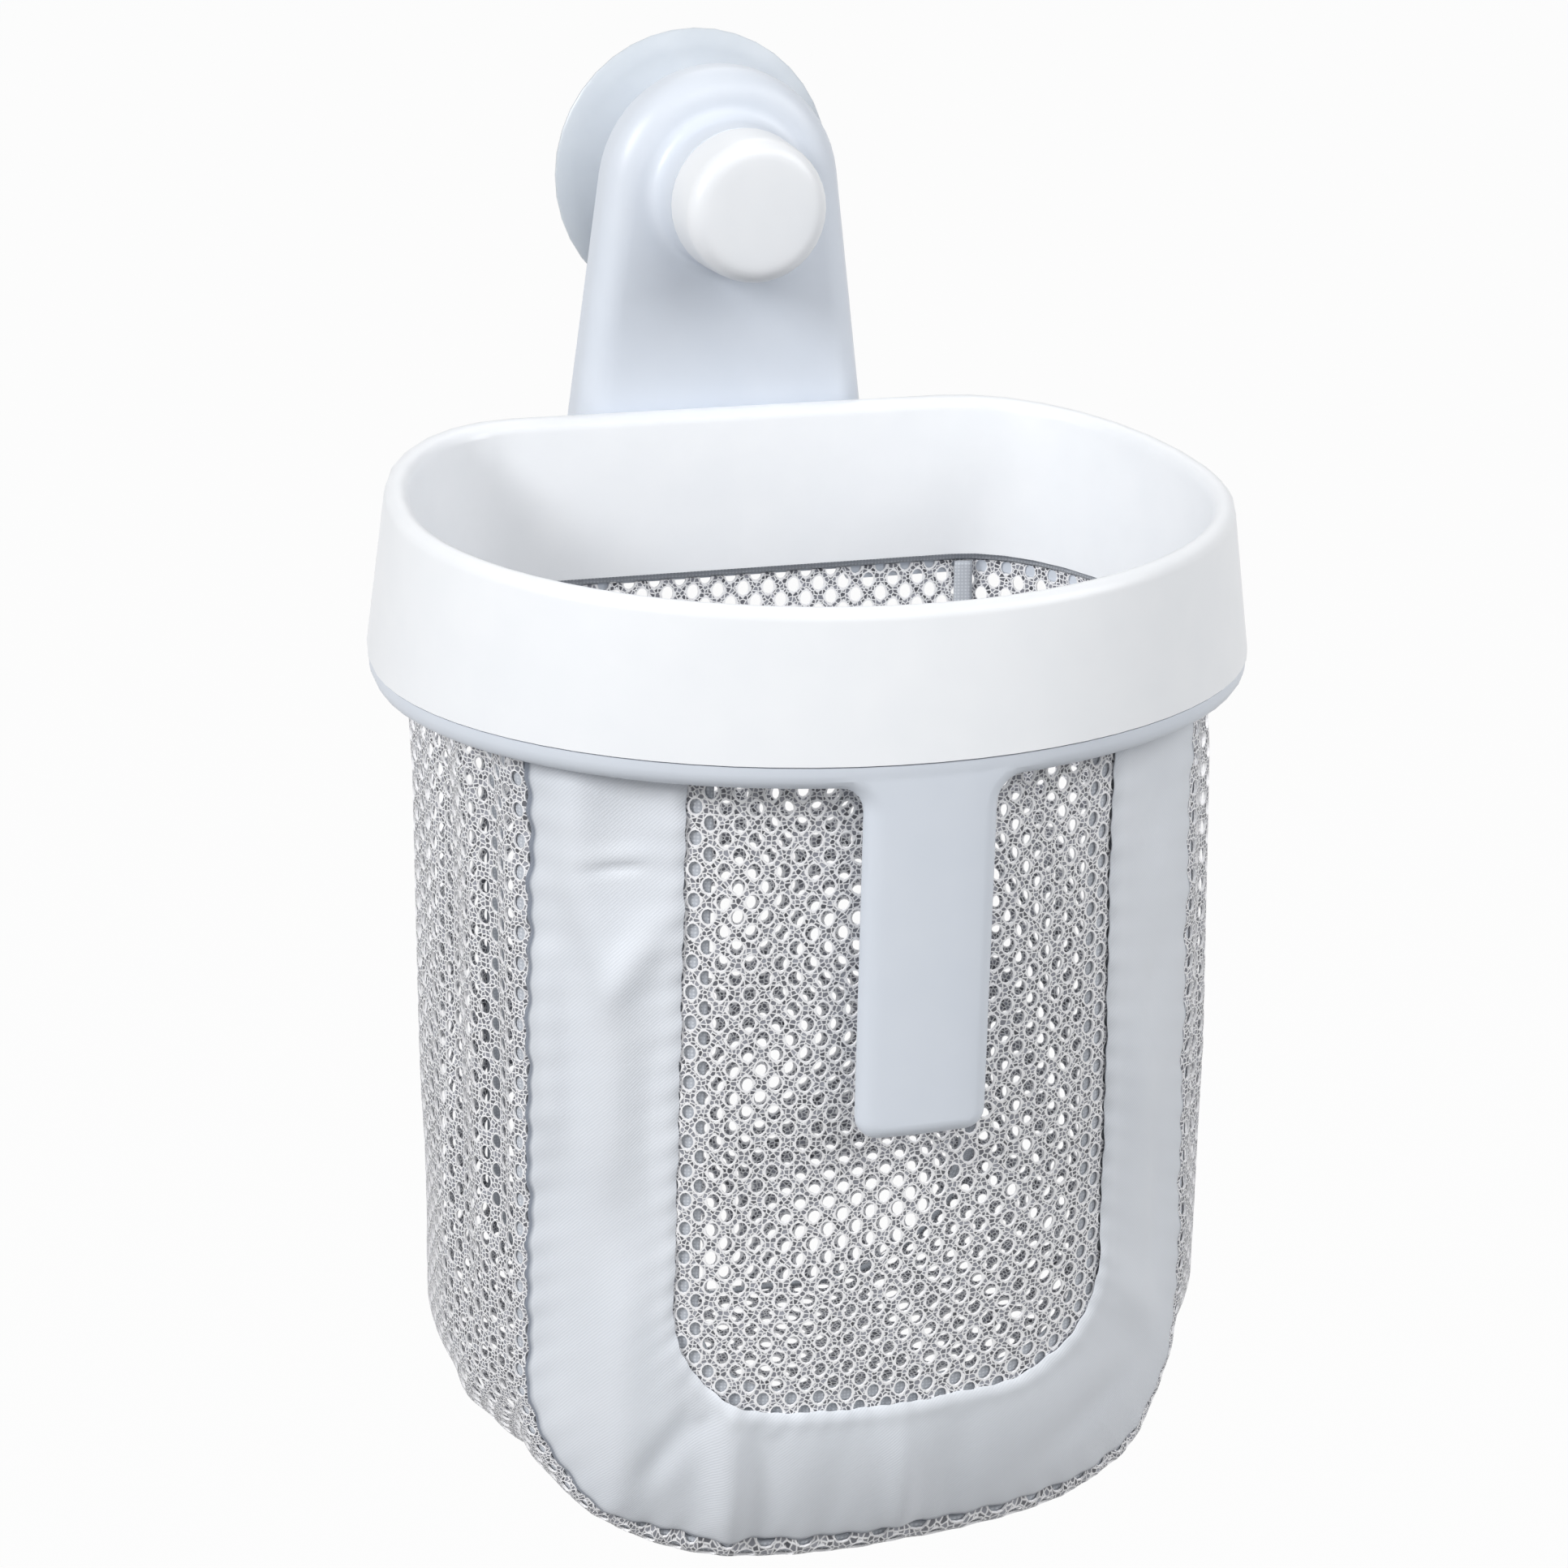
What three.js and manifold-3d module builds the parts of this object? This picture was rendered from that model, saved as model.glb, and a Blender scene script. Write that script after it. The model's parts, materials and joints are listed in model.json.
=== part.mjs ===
// A bath toy organizer: a suction bracket on the wall carries a lift-off scoop with a sewn mesh bag.
// Millimetres, +Z up. The origin is the middle of the suction cup's contact with the wall.
// The wall is the plane y = 0 and the part reaches out from it along -Y.
import * as THREE from 'three';
import { mergeVertices } from 'three/addons/utils/BufferGeometryUtils.js';
import Module from 'manifold-3d';

const wasm = await Module();
wasm.setup();

// Clearance between pieces that touch or clip together
const GAP = 0.35;

// Suction cup
const CUP_RADIUS = 36.5;
const CUP_LIP_WIDTH = 7;
const CUP_EDGE = 1.2;
const CUP_HOLLOW = 3.2;
const CUP_SHOULDER_RADIUS = 14;
const CUP_SHOULDER_DEPTH = 9;
const CUP_NECK_RADIUS = 11;
const CUP_NECK_DEPTH = 19.5;

// Stud that the knob draws forward, buttoned into the neck of the cup
const THREAD_PITCH = 3;
const STUD_RADIUS = 4.8;
const STUD_THREAD_DEPTH = 0.6;
const STUD_HEAD_RADIUS = 7.8;
const STUD_HEAD_THICKNESS = 3.2;
const STUD_SEAT_DEPTH = 15.2;
const STUD_LENGTH = 36;

// Bracket shell
const PLATE_RADIUS = 30.6;
const PLATE_FLARE = 7.4;
const PLATE_FRONT = 33;
const PLATE_DEPTH = 12.5;
const PLATE_WALL = 2.4;
const PLATE_EDGE_ROUND = 7.4;
const PLATE_FOOT = 98;
const BOSS_RADIUS = 18.6;
const BOSS_INNER_RADIUS = 10.8;
const BOSS_HEIGHT = 11;
const BOSS_ROUND = 1.2;
const BOSS_COVE = 3.8;
const RIB_RADIUS = 22;
const RIB_WALL = 2.2;

// Knob and its washer
const KNOB_RADIUS = 18.4;
const KNOB_DEPTH = 16.5;
const KNOB_WALL = 2.2;
const KNOB_ROUND = 4.6;
const HUB_RADIUS = 7.6;
const WASHER_RADIUS = 9.6;
const WASHER_THICKNESS = 0.8;

// Scoop rim: a D in plan, with a straight back and an elliptical front
const RIM_HALF_WIDTH = 106.6;
const RIM_FRONT_DEPTH = 90.4;
const RIM_MIDDLE = 108.2;
const RIM_BACK = 34;
const RIM_CORNER = 45;
const RIM_HEIGHT_BACK = 41.4;
const RIM_HEIGHT_FRONT = 33.9;
const RIM_TOP_INSET = 4.8;
const LIP_WIDTH = 5.6;
const LIP_HEIGHT = 2.9;
const RIM_OUTER_WALL = 2.2;
const RIM_INNER_WALL = 2;

// The channel inside the rim at its foot: how far in each layer stands, at the sides and at the back
const HEM_INSET = 9.8;
const HEM_BACK_INSET = 5.6;
const HEM_THICKNESS = 1.2;
const HEM_HEIGHT = 16;
const HEM_BEAD = 2.6;

// Hook at the foot of the bracket
const HOOK_HALF_WIDTH = 30;
const HOOK_WALL = 2.2;
const HOOK_FLOOR = 2.8;
const HOOK_HEIGHT = 13;
const RIM_FOOT = PLATE_FOOT - HOOK_FLOOR - GAP;

// Lower ring with the handle
const RING_HEIGHT = 5.8;
const RING_ROUND = 4;
const RING_STEP = 0.3;
const HANDLE_WIDTH = 31;
const HANDLE_LENGTH = 91;
const HANDLE_THICKNESS = 5.6;
const HANDLE_FILLET = 6;
const HANDLE_CORNER = 5;
const HANDLE_SETBACK = 0.15;
const HANDLE_FRONT_ROUND = RING_ROUND;
const HANDLE_BACK_ROUND = 1.2;

// Screws that clamp the ring to the rim
const SCREW_RADIUS = 1.1;
const SCREW_LENGTH = 13;
const SCREW_HEAD_RADIUS = 2.4;
const SCREW_HEAD_HEIGHT = 1.5;
const SCREW_INSET = 5.2;
const SCREW_WALL = 1.6;
const SCREW_STATIONS = [0.06, 0.27, 0.4, 0.6, 0.73, 0.94];

// Bag
const CLOTH = 1;
const MESH = 1;
const BAG_DROP = 208;
const BAG_STRAIGHT = 166;
const BAG_FLARE = 2.5;
const BAG_RECEDE = 10;
const BAG_UNDERCUT = 11;
const FRONT_SEAM = 82;
const BACK_SEAM = 60;
const SEAM_FLARE = 2;
const BAG_CORNER = 42;
const BAG_SAG = 0.3;
const BAG_PINCH = 0.25;
const ROLL_DROP = 8;
const ROLL_WIDTH = 3;
const ROLL_FADE = 45;
const BACK_RISE = 6;
const WINDOW_HALF_WIDTH = 51.5;
const WINDOW_FLOOR = 41;
const WINDOW_CORNER = 27;
const WINDOW_LAP = 6;
const FACING_WIDTH = 5.5;
const FACING = 0.8;
const TAPE_WIDTH = 7;
const TAPE_INSET = 2.2;
const NET_BAR = 0.36;
const SIDE_OPENINGS = { down: 6, bend: 3, foot: 3, across: 5 };
const WINDOW_OPENINGS = { down: 7, across: 4 };
const BACK_OPENINGS = { down: 8, across: 5 };

const v3 = (x, y, z) => new THREE.Vector3(x, y, z);
const rad = THREE.MathUtils.degToRad;
const part = new THREE.Group();
part.name = 'bath_toy_organizer';

// Turn any closed geometry into a solid with its faces outward
function solid(geometry) {
  const plain = geometry.index ? geometry.toNonIndexed() : geometry.clone();
  plain.deleteAttribute('normal');
  plain.deleteAttribute('uv');
  const merged = mergeVertices(plain, 1e-4);
  const points = merged.attributes.position;
  const triangles = [];
  let volume = 0;
  const a = v3();
  const b = v3();
  const c = v3();
  for (let i = 0; i < merged.index.count; i += 3) {
    const corner = [0, 1, 2].map((k) => merged.index.getX(i + k));
    if (corner[0] === corner[1] || corner[1] === corner[2] || corner[0] === corner[2]) {
      continue;
    }
    triangles.push(...corner);
    a.fromBufferAttribute(points, corner[0]);
    b.fromBufferAttribute(points, corner[1]);
    c.fromBufferAttribute(points, corner[2]);
    volume += a.dot(b.cross(c));
  }
  if (volume < 0) {
    triangles.reverse();
  }
  const vertProperties = new Float32Array(points.array);
  const triVerts = new Uint32Array(triangles);
  return new wasm.Manifold(new wasm.Mesh({ numProp: 3, vertProperties, triVerts }));
}

// Keep the largest body of a cut solid
function mainBody(manifold) {
  const bodies = manifold.decompose();
  bodies.sort((p, q) => q.volume() - p.volume());
  return bodies[0];
}

function addPart(name, manifold, look) {
  const data = manifold.getMesh();
  const geometry = new THREE.BufferGeometry();
  geometry.setAttribute('position', new THREE.BufferAttribute(new Float32Array(data.vertProperties), 3));
  geometry.setIndex(new THREE.BufferAttribute(new Uint32Array(data.triVerts), 1));
  geometry.computeVertexNormals();
  const mesh = new THREE.Mesh(geometry, new THREE.MeshStandardMaterial(look));
  mesh.name = name;
  part.add(mesh);
}

// Closed body from triangles given as corner points
function fromTriangles(corners) {
  const flat = corners.flatMap((p) => [p.x, p.y, p.z]);
  const geometry = new THREE.BufferGeometry();
  geometry.setAttribute('position', new THREE.Float32BufferAttribute(flat, 3));
  return solid(geometry);
}

function quad(out, a, b, c, d) {
  out.push(a, b, c, a, c, d);
}

// Sweep of a closed section round a closed row of stations
function ringBody(sections) {
  const out = [];
  sections.forEach((section, i) => {
    const next = sections[(i + 1) % sections.length];
    section.forEach((point, j) => {
      const k = (j + 1) % section.length;
      quad(out, point, section[k], next[k], next[j]);
    });
  });
  return fromTriangles(out);
}

// Stack of like loops with flat ends, each loop a row of points
function stackBody(rows, flatten) {
  const turned = THREE.ShapeUtils.area(rows[0].map(flatten)) < 0;
  const loops = turned ? rows.map((row) => [...row].reverse()) : rows;
  const out = [];
  for (let i = 0; i + 1 < loops.length; i += 1) {
    loops[i].forEach((point, j) => {
      const k = (j + 1) % loops[i].length;
      quad(out, point, loops[i][k], loops[i + 1][k], loops[i + 1][j]);
    });
  }
  const first = loops[0];
  const last = loops[loops.length - 1];
  const faces = THREE.ShapeUtils.triangulateShape(first.map(flatten), []);
  faces.forEach(([a, b, c]) => {
    out.push(first[c], first[b], first[a]);
  });
  const lastFaces = THREE.ShapeUtils.triangulateShape(last.map(flatten), []);
  lastFaces.forEach(([a, b, c]) => {
    out.push(last[a], last[b], last[c]);
  });
  return fromTriangles(out);
}

// Stack of like grids of points: the outer two are its ends, and their borders make its sides
function gridStack(grids) {
  const out = [];
  const last = grids[0].length - 1;
  const wide = grids[0][0].length - 1;
  const borders = grids.map((grid) => [
    ...grid.map((row) => row[0]),
    ...grid[last].slice(1, -1),
    ...grid.map((row) => row[wide]).reverse(),
    ...grid[0].slice(1, -1).reverse(),
  ]);
  borders.slice(1).forEach((border, i) => {
    border.forEach((point, j) => {
      const k = (j + 1) % border.length;
      quad(out, borders[i][j], borders[i][k], border[k], point);
    });
  });
  const first = grids[0];
  const end = grids[grids.length - 1];
  for (let i = 0; i < last; i += 1) {
    for (let j = 0; j < wide; j += 1) {
      quad(out, first[i][j], first[i][j + 1], first[i + 1][j + 1], first[i + 1][j]);
      quad(out, end[i][j], end[i + 1][j], end[i + 1][j + 1], end[i][j + 1]);
    }
  }
  return fromTriangles(out);
}

// Thin closed sheet under a grid of points, from one depth to another along the inward normals,
// without the cells that are open
function sheetBody(grid, from, to, inside, isOpen = () => false) {
  const rows = grid.length;
  const columns = grid[0].length;
  const layers = [from, to].map((depth) =>
    grid.map((row, i) =>
      row.map((point, j) => {
        const up = grid[Math.min(i + 1, rows - 1)][j].clone().sub(grid[Math.max(i - 1, 0)][j]);
        const along = row[Math.min(j + 1, columns - 1)].clone().sub(row[Math.max(j - 1, 0)]);
        const normal = up.cross(along).normalize();
        if (normal.dot(inside.clone().sub(point)) < 0) {
          normal.negate();
        }
        return point.clone().addScaledVector(normal, depth);
      }),
    ),
  );
  const [outer, inner] = layers;
  const filled = (i, j) => i >= 0 && j >= 0 && i + 1 < rows && j + 1 < columns && !isOpen(i, j);
  const out = [];
  for (let i = 0; i + 1 < rows; i += 1) {
    for (let j = 0; j + 1 < columns; j += 1) {
      if (!filled(i, j)) {
        continue;
      }
      quad(out, outer[i][j], outer[i][j + 1], outer[i + 1][j + 1], outer[i + 1][j]);
      quad(out, inner[i][j], inner[i + 1][j], inner[i + 1][j + 1], inner[i][j + 1]);
      if (!filled(i - 1, j)) {
        quad(out, outer[i][j + 1], outer[i][j], inner[i][j], inner[i][j + 1]);
      }
      if (!filled(i + 1, j)) {
        quad(out, outer[i + 1][j], outer[i + 1][j + 1], inner[i + 1][j + 1], inner[i + 1][j]);
      }
      if (!filled(i, j - 1)) {
        quad(out, outer[i][j], outer[i + 1][j], inner[i + 1][j], inner[i][j]);
      }
      if (!filled(i, j + 1)) {
        quad(out, outer[i + 1][j + 1], outer[i][j + 1], inner[i][j + 1], inner[i + 1][j + 1]);
      }
    }
  }
  return fromTriangles(out);
}

// Turned body about the cup's axis, from [radius, distance from the wall] pairs
function turned(profile, sides) {
  const points = profile.map(([r, depth]) => new THREE.Vector2(r, -depth));
  return solid(new THREE.LatheGeometry(points, sides));
}

// Turned body about an upright axis at a point
function upright(profile, sides, at) {
  const points = profile.map(([r, z]) => new THREE.Vector2(r, z));
  const geometry = new THREE.LatheGeometry(points, sides);
  geometry.rotateX(Math.PI / 2);
  geometry.translate(at.x, at.y, at.z);
  return solid(geometry);
}

function box(x0, x1, y0, y1, z0, z1) {
  const geometry = new THREE.BoxGeometry(x1 - x0, y1 - y0, z1 - z0);
  geometry.translate((x0 + x1) / 2, (y0 + y1) / 2, (z0 + z1) / 2);
  return solid(geometry);
}

// Straight prism along Y of an outline in X and Z
function prism(outline, nearWall, farFromWall) {
  const shape = new THREE.Shape(outline.map((p) => new THREE.Vector2(p.x, p.z)));
  const geometry = new THREE.ExtrudeGeometry(shape, { depth: farFromWall - nearWall, bevelEnabled: false });
  geometry.rotateX(Math.PI / 2);
  geometry.translate(0, -nearWall, 0);
  return solid(geometry);
}

// The D outline, inset from the rim's foot or from its top
const frontSteps = 36;

function dLoop(inset, backInset, topInset = 0) {
  const halfWidth = RIM_HALF_WIDTH - topInset - inset;
  const depth = RIM_FRONT_DEPTH - topInset - inset;
  const back = -RIM_BACK - backInset;
  const corner = RIM_CORNER - 0.8 * inset;
  const straight = halfWidth - corner;
  const points = [];
  for (let i = 0; i <= frontSteps; i += 1) {
    const turn = (Math.PI * i) / frontSteps;
    points.push(v3(halfWidth * Math.cos(turn), -RIM_MIDDLE - depth * Math.sin(turn), 0));
  }
  const bend = 8;
  const rise = back + RIM_MIDDLE;
  for (let i = 1; i <= bend; i += 1) {
    const turn = (Math.PI / 2) * (i / bend);
    points.push(v3(-straight - corner * Math.cos(turn), -RIM_MIDDLE + rise * Math.sin(turn), 0));
  }
  for (let i = bend; i >= 1; i -= 1) {
    const turn = (Math.PI / 2) * (i / bend);
    points.push(v3(straight + corner * Math.cos(turn), -RIM_MIDDLE + rise * Math.sin(turn), 0));
  }
  return points;
}

// Height of the rim's top edge, which falls from the back to the front
function rimTop(y) {
  const front = RIM_MIDDLE + RIM_FRONT_DEPTH;
  const share = (-y - RIM_BACK) / (front - RIM_BACK);
  return -RIM_FOOT + RIM_HEIGHT_BACK - share * (RIM_HEIGHT_BACK - RIM_HEIGHT_FRONT);
}

// Suction cup, with the pocket that holds the head of the stud
const pocketRadius = STUD_HEAD_RADIUS + GAP;
const pocketFloor = STUD_SEAT_DEPTH - STUD_HEAD_THICKNESS - THREAD_PITCH - GAP;
const cup = turned([
  [0, CUP_HOLLOW],
  [CUP_RADIUS * 0.45, CUP_HOLLOW * 0.85],
  [CUP_RADIUS - CUP_LIP_WIDTH, 0],
  [CUP_RADIUS, 0],
  [CUP_RADIUS, CUP_EDGE * 0.6],
  [CUP_RADIUS - 0.5, CUP_EDGE],
  [CUP_RADIUS - 5, CUP_EDGE + 1],
  [CUP_SHOULDER_RADIUS, CUP_SHOULDER_DEPTH],
  [CUP_NECK_RADIUS, CUP_SHOULDER_DEPTH + 3],
  [CUP_NECK_RADIUS, CUP_NECK_DEPTH - 1],
  [CUP_NECK_RADIUS - 1, CUP_NECK_DEPTH],
  [STUD_RADIUS + GAP, CUP_NECK_DEPTH],
  [STUD_RADIUS + GAP, STUD_SEAT_DEPTH + GAP],
  [pocketRadius, STUD_SEAT_DEPTH + GAP],
  [pocketRadius, pocketFloor],
  [0, pocketFloor],
], 40);
addPart('suction_cup', cup, { color: 0xb9c6cf, roughness: 0.4, metalness: 0 });

// Stud, with thread rings where the knob rides
const studEnd = STUD_SEAT_DEPTH + STUD_LENGTH;
const threadStart = PLATE_FRONT + 2;
const studProfile = [
  [0, STUD_SEAT_DEPTH - STUD_HEAD_THICKNESS],
  [STUD_HEAD_RADIUS, STUD_SEAT_DEPTH - STUD_HEAD_THICKNESS],
  [STUD_HEAD_RADIUS, STUD_SEAT_DEPTH],
  [STUD_RADIUS, STUD_SEAT_DEPTH],
  [STUD_RADIUS, threadStart],
];
for (let depth = threadStart; depth + THREAD_PITCH < studEnd; depth += THREAD_PITCH) {
  studProfile.push([STUD_RADIUS - STUD_THREAD_DEPTH, depth + THREAD_PITCH * 0.3]);
  studProfile.push([STUD_RADIUS - STUD_THREAD_DEPTH, depth + THREAD_PITCH * 0.5]);
  studProfile.push([STUD_RADIUS, depth + THREAD_PITCH * 0.8]);
  studProfile.push([STUD_RADIUS, depth + THREAD_PITCH]);
}
studProfile.push([STUD_RADIUS - 1, studEnd], [0, studEnd]);
addPart('cup_stud', turned(studProfile, 12), { color: 0xe6e6e2, roughness: 0.5, metalness: 0 });

// Tombstone outline of the bracket: a round head on sides that flare toward the foot
function plateLoop(inset, depth) {
  const flare = rad(PLATE_FLARE);
  const radius = PLATE_RADIUS - inset;
  const points = [];
  const head = 26;
  for (let i = 0; i <= head; i += 1) {
    const turn = flare + ((Math.PI - 2 * flare) * i) / head;
    points.push(v3(radius * Math.cos(turn), -depth, radius * Math.sin(turn)));
  }
  const foot = -PLATE_FOOT + inset;
  const reach = radius / Math.cos(flare) - foot * Math.tan(flare);
  const heel = Math.max(PLATE_EDGE_ROUND - inset, 0.5);
  points.push(v3(-reach + heel * Math.tan(flare), -depth, foot + heel));
  points.push(v3(-reach + heel * 0.3, -depth, foot + heel * 0.3));
  points.push(v3(-reach + heel, -depth, foot));
  points.push(v3(reach - heel, -depth, foot));
  points.push(v3(reach - heel * 0.3, -depth, foot + heel * 0.3));
  points.push(v3(reach - heel * Math.tan(flare), -depth, foot + heel));
  return points;
}

// Rounded pan of the bracket, outside or inside
function platePan(inset, back, front, round) {
  const loops = [plateLoop(inset, back)];
  const steps = 5;
  for (let i = 0; i <= steps; i += 1) {
    const turn = (Math.PI / 2) * (i / steps);
    loops.push(plateLoop(inset + round * (1 - Math.cos(turn)), front - round + round * Math.sin(turn)));
  }
  return stackBody(loops, (p) => new THREE.Vector2(p.x, p.z));
}

const plateBack = PLATE_FRONT - PLATE_DEPTH;
const panOutside = platePan(0, plateBack, PLATE_FRONT, PLATE_EDGE_ROUND);
const panInside = platePan(PLATE_WALL, plateBack - 1, PLATE_FRONT - PLATE_WALL,
  PLATE_EDGE_ROUND - PLATE_WALL);
const bossTop = PLATE_FRONT + BOSS_HEIGHT;
const bossProfile = [
  [BOSS_INNER_RADIUS, PLATE_FRONT - 1],
  [BOSS_RADIUS + BOSS_COVE, PLATE_FRONT - 1],
];
for (let i = 0; i <= 4; i += 1) {
  const turn = (Math.PI / 2) * (i / 4);
  const reach = BOSS_COVE * (1 - Math.sin(turn));
  bossProfile.push([BOSS_RADIUS + reach, PLATE_FRONT + BOSS_COVE * (1 - Math.cos(turn))]);
}
bossProfile.push(
  [BOSS_RADIUS - BOSS_ROUND * 0.3, bossTop - BOSS_ROUND * 0.3],
  [BOSS_RADIUS - BOSS_ROUND, bossTop],
  [BOSS_INNER_RADIUS, bossTop],
  [BOSS_INNER_RADIUS, PLATE_FRONT - 1],
);
const boss = turned(bossProfile, 32);
const coneSlope = (CUP_SHOULDER_DEPTH - CUP_EDGE - 1) / (CUP_RADIUS - 5 - CUP_SHOULDER_RADIUS);
const ribEnd = CUP_SHOULDER_DEPTH - coneSlope * (RIB_RADIUS - RIB_WALL - CUP_SHOULDER_RADIUS) + GAP;
const rib = turned([
  [RIB_RADIUS - RIB_WALL, ribEnd],
  [RIB_RADIUS, ribEnd],
  [RIB_RADIUS, PLATE_FRONT - 1],
  [RIB_RADIUS - RIB_WALL, PLATE_FRONT - 1],
  [RIB_RADIUS - RIB_WALL, ribEnd],
], 40);
const studHole = turned([
  [0, plateBack],
  [STUD_RADIUS + GAP, plateBack],
  [STUD_RADIUS + GAP, bossTop + 1],
  [0, bossTop + 1],
], 32);

// Hook: the rim's back wall drops in between the plate and the upturned lip
const hookBack = RIM_BACK + RIM_OUTER_WALL + GAP + 0.15;
const hookFront = hookBack + HOOK_WALL;
const hookTop = -RIM_FOOT - GAP;
const hookFloor = box(-HOOK_HALF_WIDTH, HOOK_HALF_WIDTH, -hookFront, -PLATE_FRONT + PLATE_EDGE_ROUND,
  hookTop - HOOK_FLOOR, hookTop);
const hookLip = prism([
  v3(-HOOK_HALF_WIDTH, 0, hookTop - HOOK_FLOOR),
  v3(HOOK_HALF_WIDTH, 0, hookTop - HOOK_FLOOR),
  v3(HOOK_HALF_WIDTH, 0, hookTop + HOOK_HEIGHT - 4),
  v3(HOOK_HALF_WIDTH - 4, 0, hookTop + HOOK_HEIGHT),
  v3(-HOOK_HALF_WIDTH + 4, 0, hookTop + HOOK_HEIGHT),
  v3(-HOOK_HALF_WIDTH, 0, hookTop + HOOK_HEIGHT - 4),
], hookBack, hookFront);
const shell = panOutside.subtract(panInside).add(boss).add(rib).subtract(studHole);
const bracket = shell.add(hookFloor).add(hookLip);
addPart('wall_bracket', bracket, { color: 0xc3d0d9, roughness: 0.42, metalness: 0 });

// Washer under the hub of the knob
const washerBack = PLATE_FRONT + GAP;
const washerFront = washerBack + WASHER_THICKNESS;
const washer = turned([
  [STUD_RADIUS + GAP, washerBack],
  [WASHER_RADIUS, washerBack],
  [WASHER_RADIUS, washerFront],
  [STUD_RADIUS + GAP, washerFront],
  [STUD_RADIUS + GAP, washerBack],
], 32);
addPart('thrust_washer', washer, { color: 0xdadcd8, roughness: 0.5, metalness: 0 });

// Knob: a round cap with a threaded hub
const knobBack = bossTop + GAP;
const knobFront = knobBack + KNOB_DEPTH;
const knobProfile = [
  [0, knobFront],
  [KNOB_RADIUS * 0.6, knobFront - 0.15],
];
for (let i = 0; i <= 6; i += 1) {
  const turn = (Math.PI / 2) * (i / 6);
  const r = KNOB_RADIUS - 0.5 - KNOB_ROUND * (1 - Math.sin(turn));
  knobProfile.push([r, knobFront - 0.3 - KNOB_ROUND * (1 - Math.cos(turn))]);
}
knobProfile.push(
  [KNOB_RADIUS, knobBack + 0.6],
  [KNOB_RADIUS - 0.4, knobBack],
  [KNOB_RADIUS - KNOB_WALL, knobBack],
  [KNOB_RADIUS - KNOB_WALL - 0.6, knobFront - KNOB_WALL - 1],
  [HUB_RADIUS, knobFront - KNOB_WALL - 1],
  [HUB_RADIUS, washerFront + GAP],
  [STUD_RADIUS + GAP, washerFront + GAP],
  [STUD_RADIUS + GAP, studEnd + GAP],
  [0, studEnd + GAP],
);
addPart('suction_knob', turned(knobProfile, 36), { color: 0xf1f3f4, roughness: 0.3, metalness: 0 });

// Scoop rim: a downward channel with a rounded lip, swept round the D
const innerBack = HEM_BACK_INSET + HEM_THICKNESS + GAP;
const innerInset = HEM_INSET + HEM_THICKNESS + GAP;
const outerFoot = dLoop(0, 0);
const outerFootInside = dLoop(RIM_OUTER_WALL, RIM_OUTER_WALL);
const innerFootOutside = dLoop(innerInset, innerBack);
const innerFoot = dLoop(innerInset + RIM_INNER_WALL, innerBack + RIM_INNER_WALL);
const lipBack = innerBack + RIM_INNER_WALL;
const outerTop = dLoop(0, 0, RIM_TOP_INSET);
const innerTop = dLoop(LIP_WIDTH, lipBack, RIM_TOP_INSET);
const outerTopInside = dLoop(RIM_OUTER_WALL, RIM_OUTER_WALL, RIM_TOP_INSET);
const innerTopOutside = dLoop(LIP_WIDTH - RIM_INNER_WALL, lipBack - RIM_INNER_WALL, RIM_TOP_INSET);
const at = (p, z) => v3(p.x, p.y, z);
const rimSections = outerFoot.map((foot, i) => {
  const top = rimTop(outerTop[i].y);
  const shoulder = top - LIP_HEIGHT;
  const section = [at(foot, -RIM_FOOT)];
  const steps = 6;
  for (let k = 0; k <= steps; k += 1) {
    const turn = (Math.PI * k) / steps;
    const share = (1 - Math.cos(turn)) / 2;
    const point = outerTop[i].clone().lerp(innerTop[i], share);
    section.push(at(point, shoulder + LIP_HEIGHT * Math.sin(turn)));
  }
  section.push(at(innerFoot[i], -RIM_FOOT));
  section.push(at(innerFootOutside[i], -RIM_FOOT));
  section.push(at(innerTopOutside[i], shoulder - 1));
  section.push(at(outerTopInside[i], shoulder - 1));
  section.push(at(outerFootInside[i], -RIM_FOOT));
  return section;
});
let rim = ringBody(rimSections);

// Where each screw stands on the D
const screwLoop = dLoop(SCREW_INSET, SCREW_INSET);
const screwPlaces = SCREW_STATIONS.map((share) => {
  const place = screwLoop[Math.round(share * frontSteps)];
  return v3(place.x, place.y, 0);
});
const ringTop = -RIM_FOOT - GAP;
const ringFoot = ringTop - RING_HEIGHT;
const screwSeat = ringFoot + SCREW_HEAD_HEIGHT + 0.6;
const screwTip = screwSeat + SCREW_LENGTH;
screwPlaces.forEach((place) => {
  const pillarRadius = SCREW_RADIUS + GAP + SCREW_WALL;
  const pillar = upright([
    [0, -RIM_FOOT],
    [pillarRadius, -RIM_FOOT],
    [pillarRadius, screwTip + 3],
    [0, screwTip + 3],
  ], 10, place);
  const pilot = upright([
    [0, -RIM_FOOT - 1],
    [SCREW_RADIUS + GAP, -RIM_FOOT - 1],
    [SCREW_RADIUS + GAP, screwTip + 0.8],
    [0, screwTip + 0.8],
  ], 10, place);
  rim = rim.add(pillar).subtract(pilot);
});
addPart('scoop_rim', rim, { color: 0xf4f5f5, roughness: 0.3, metalness: 0 });

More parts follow.
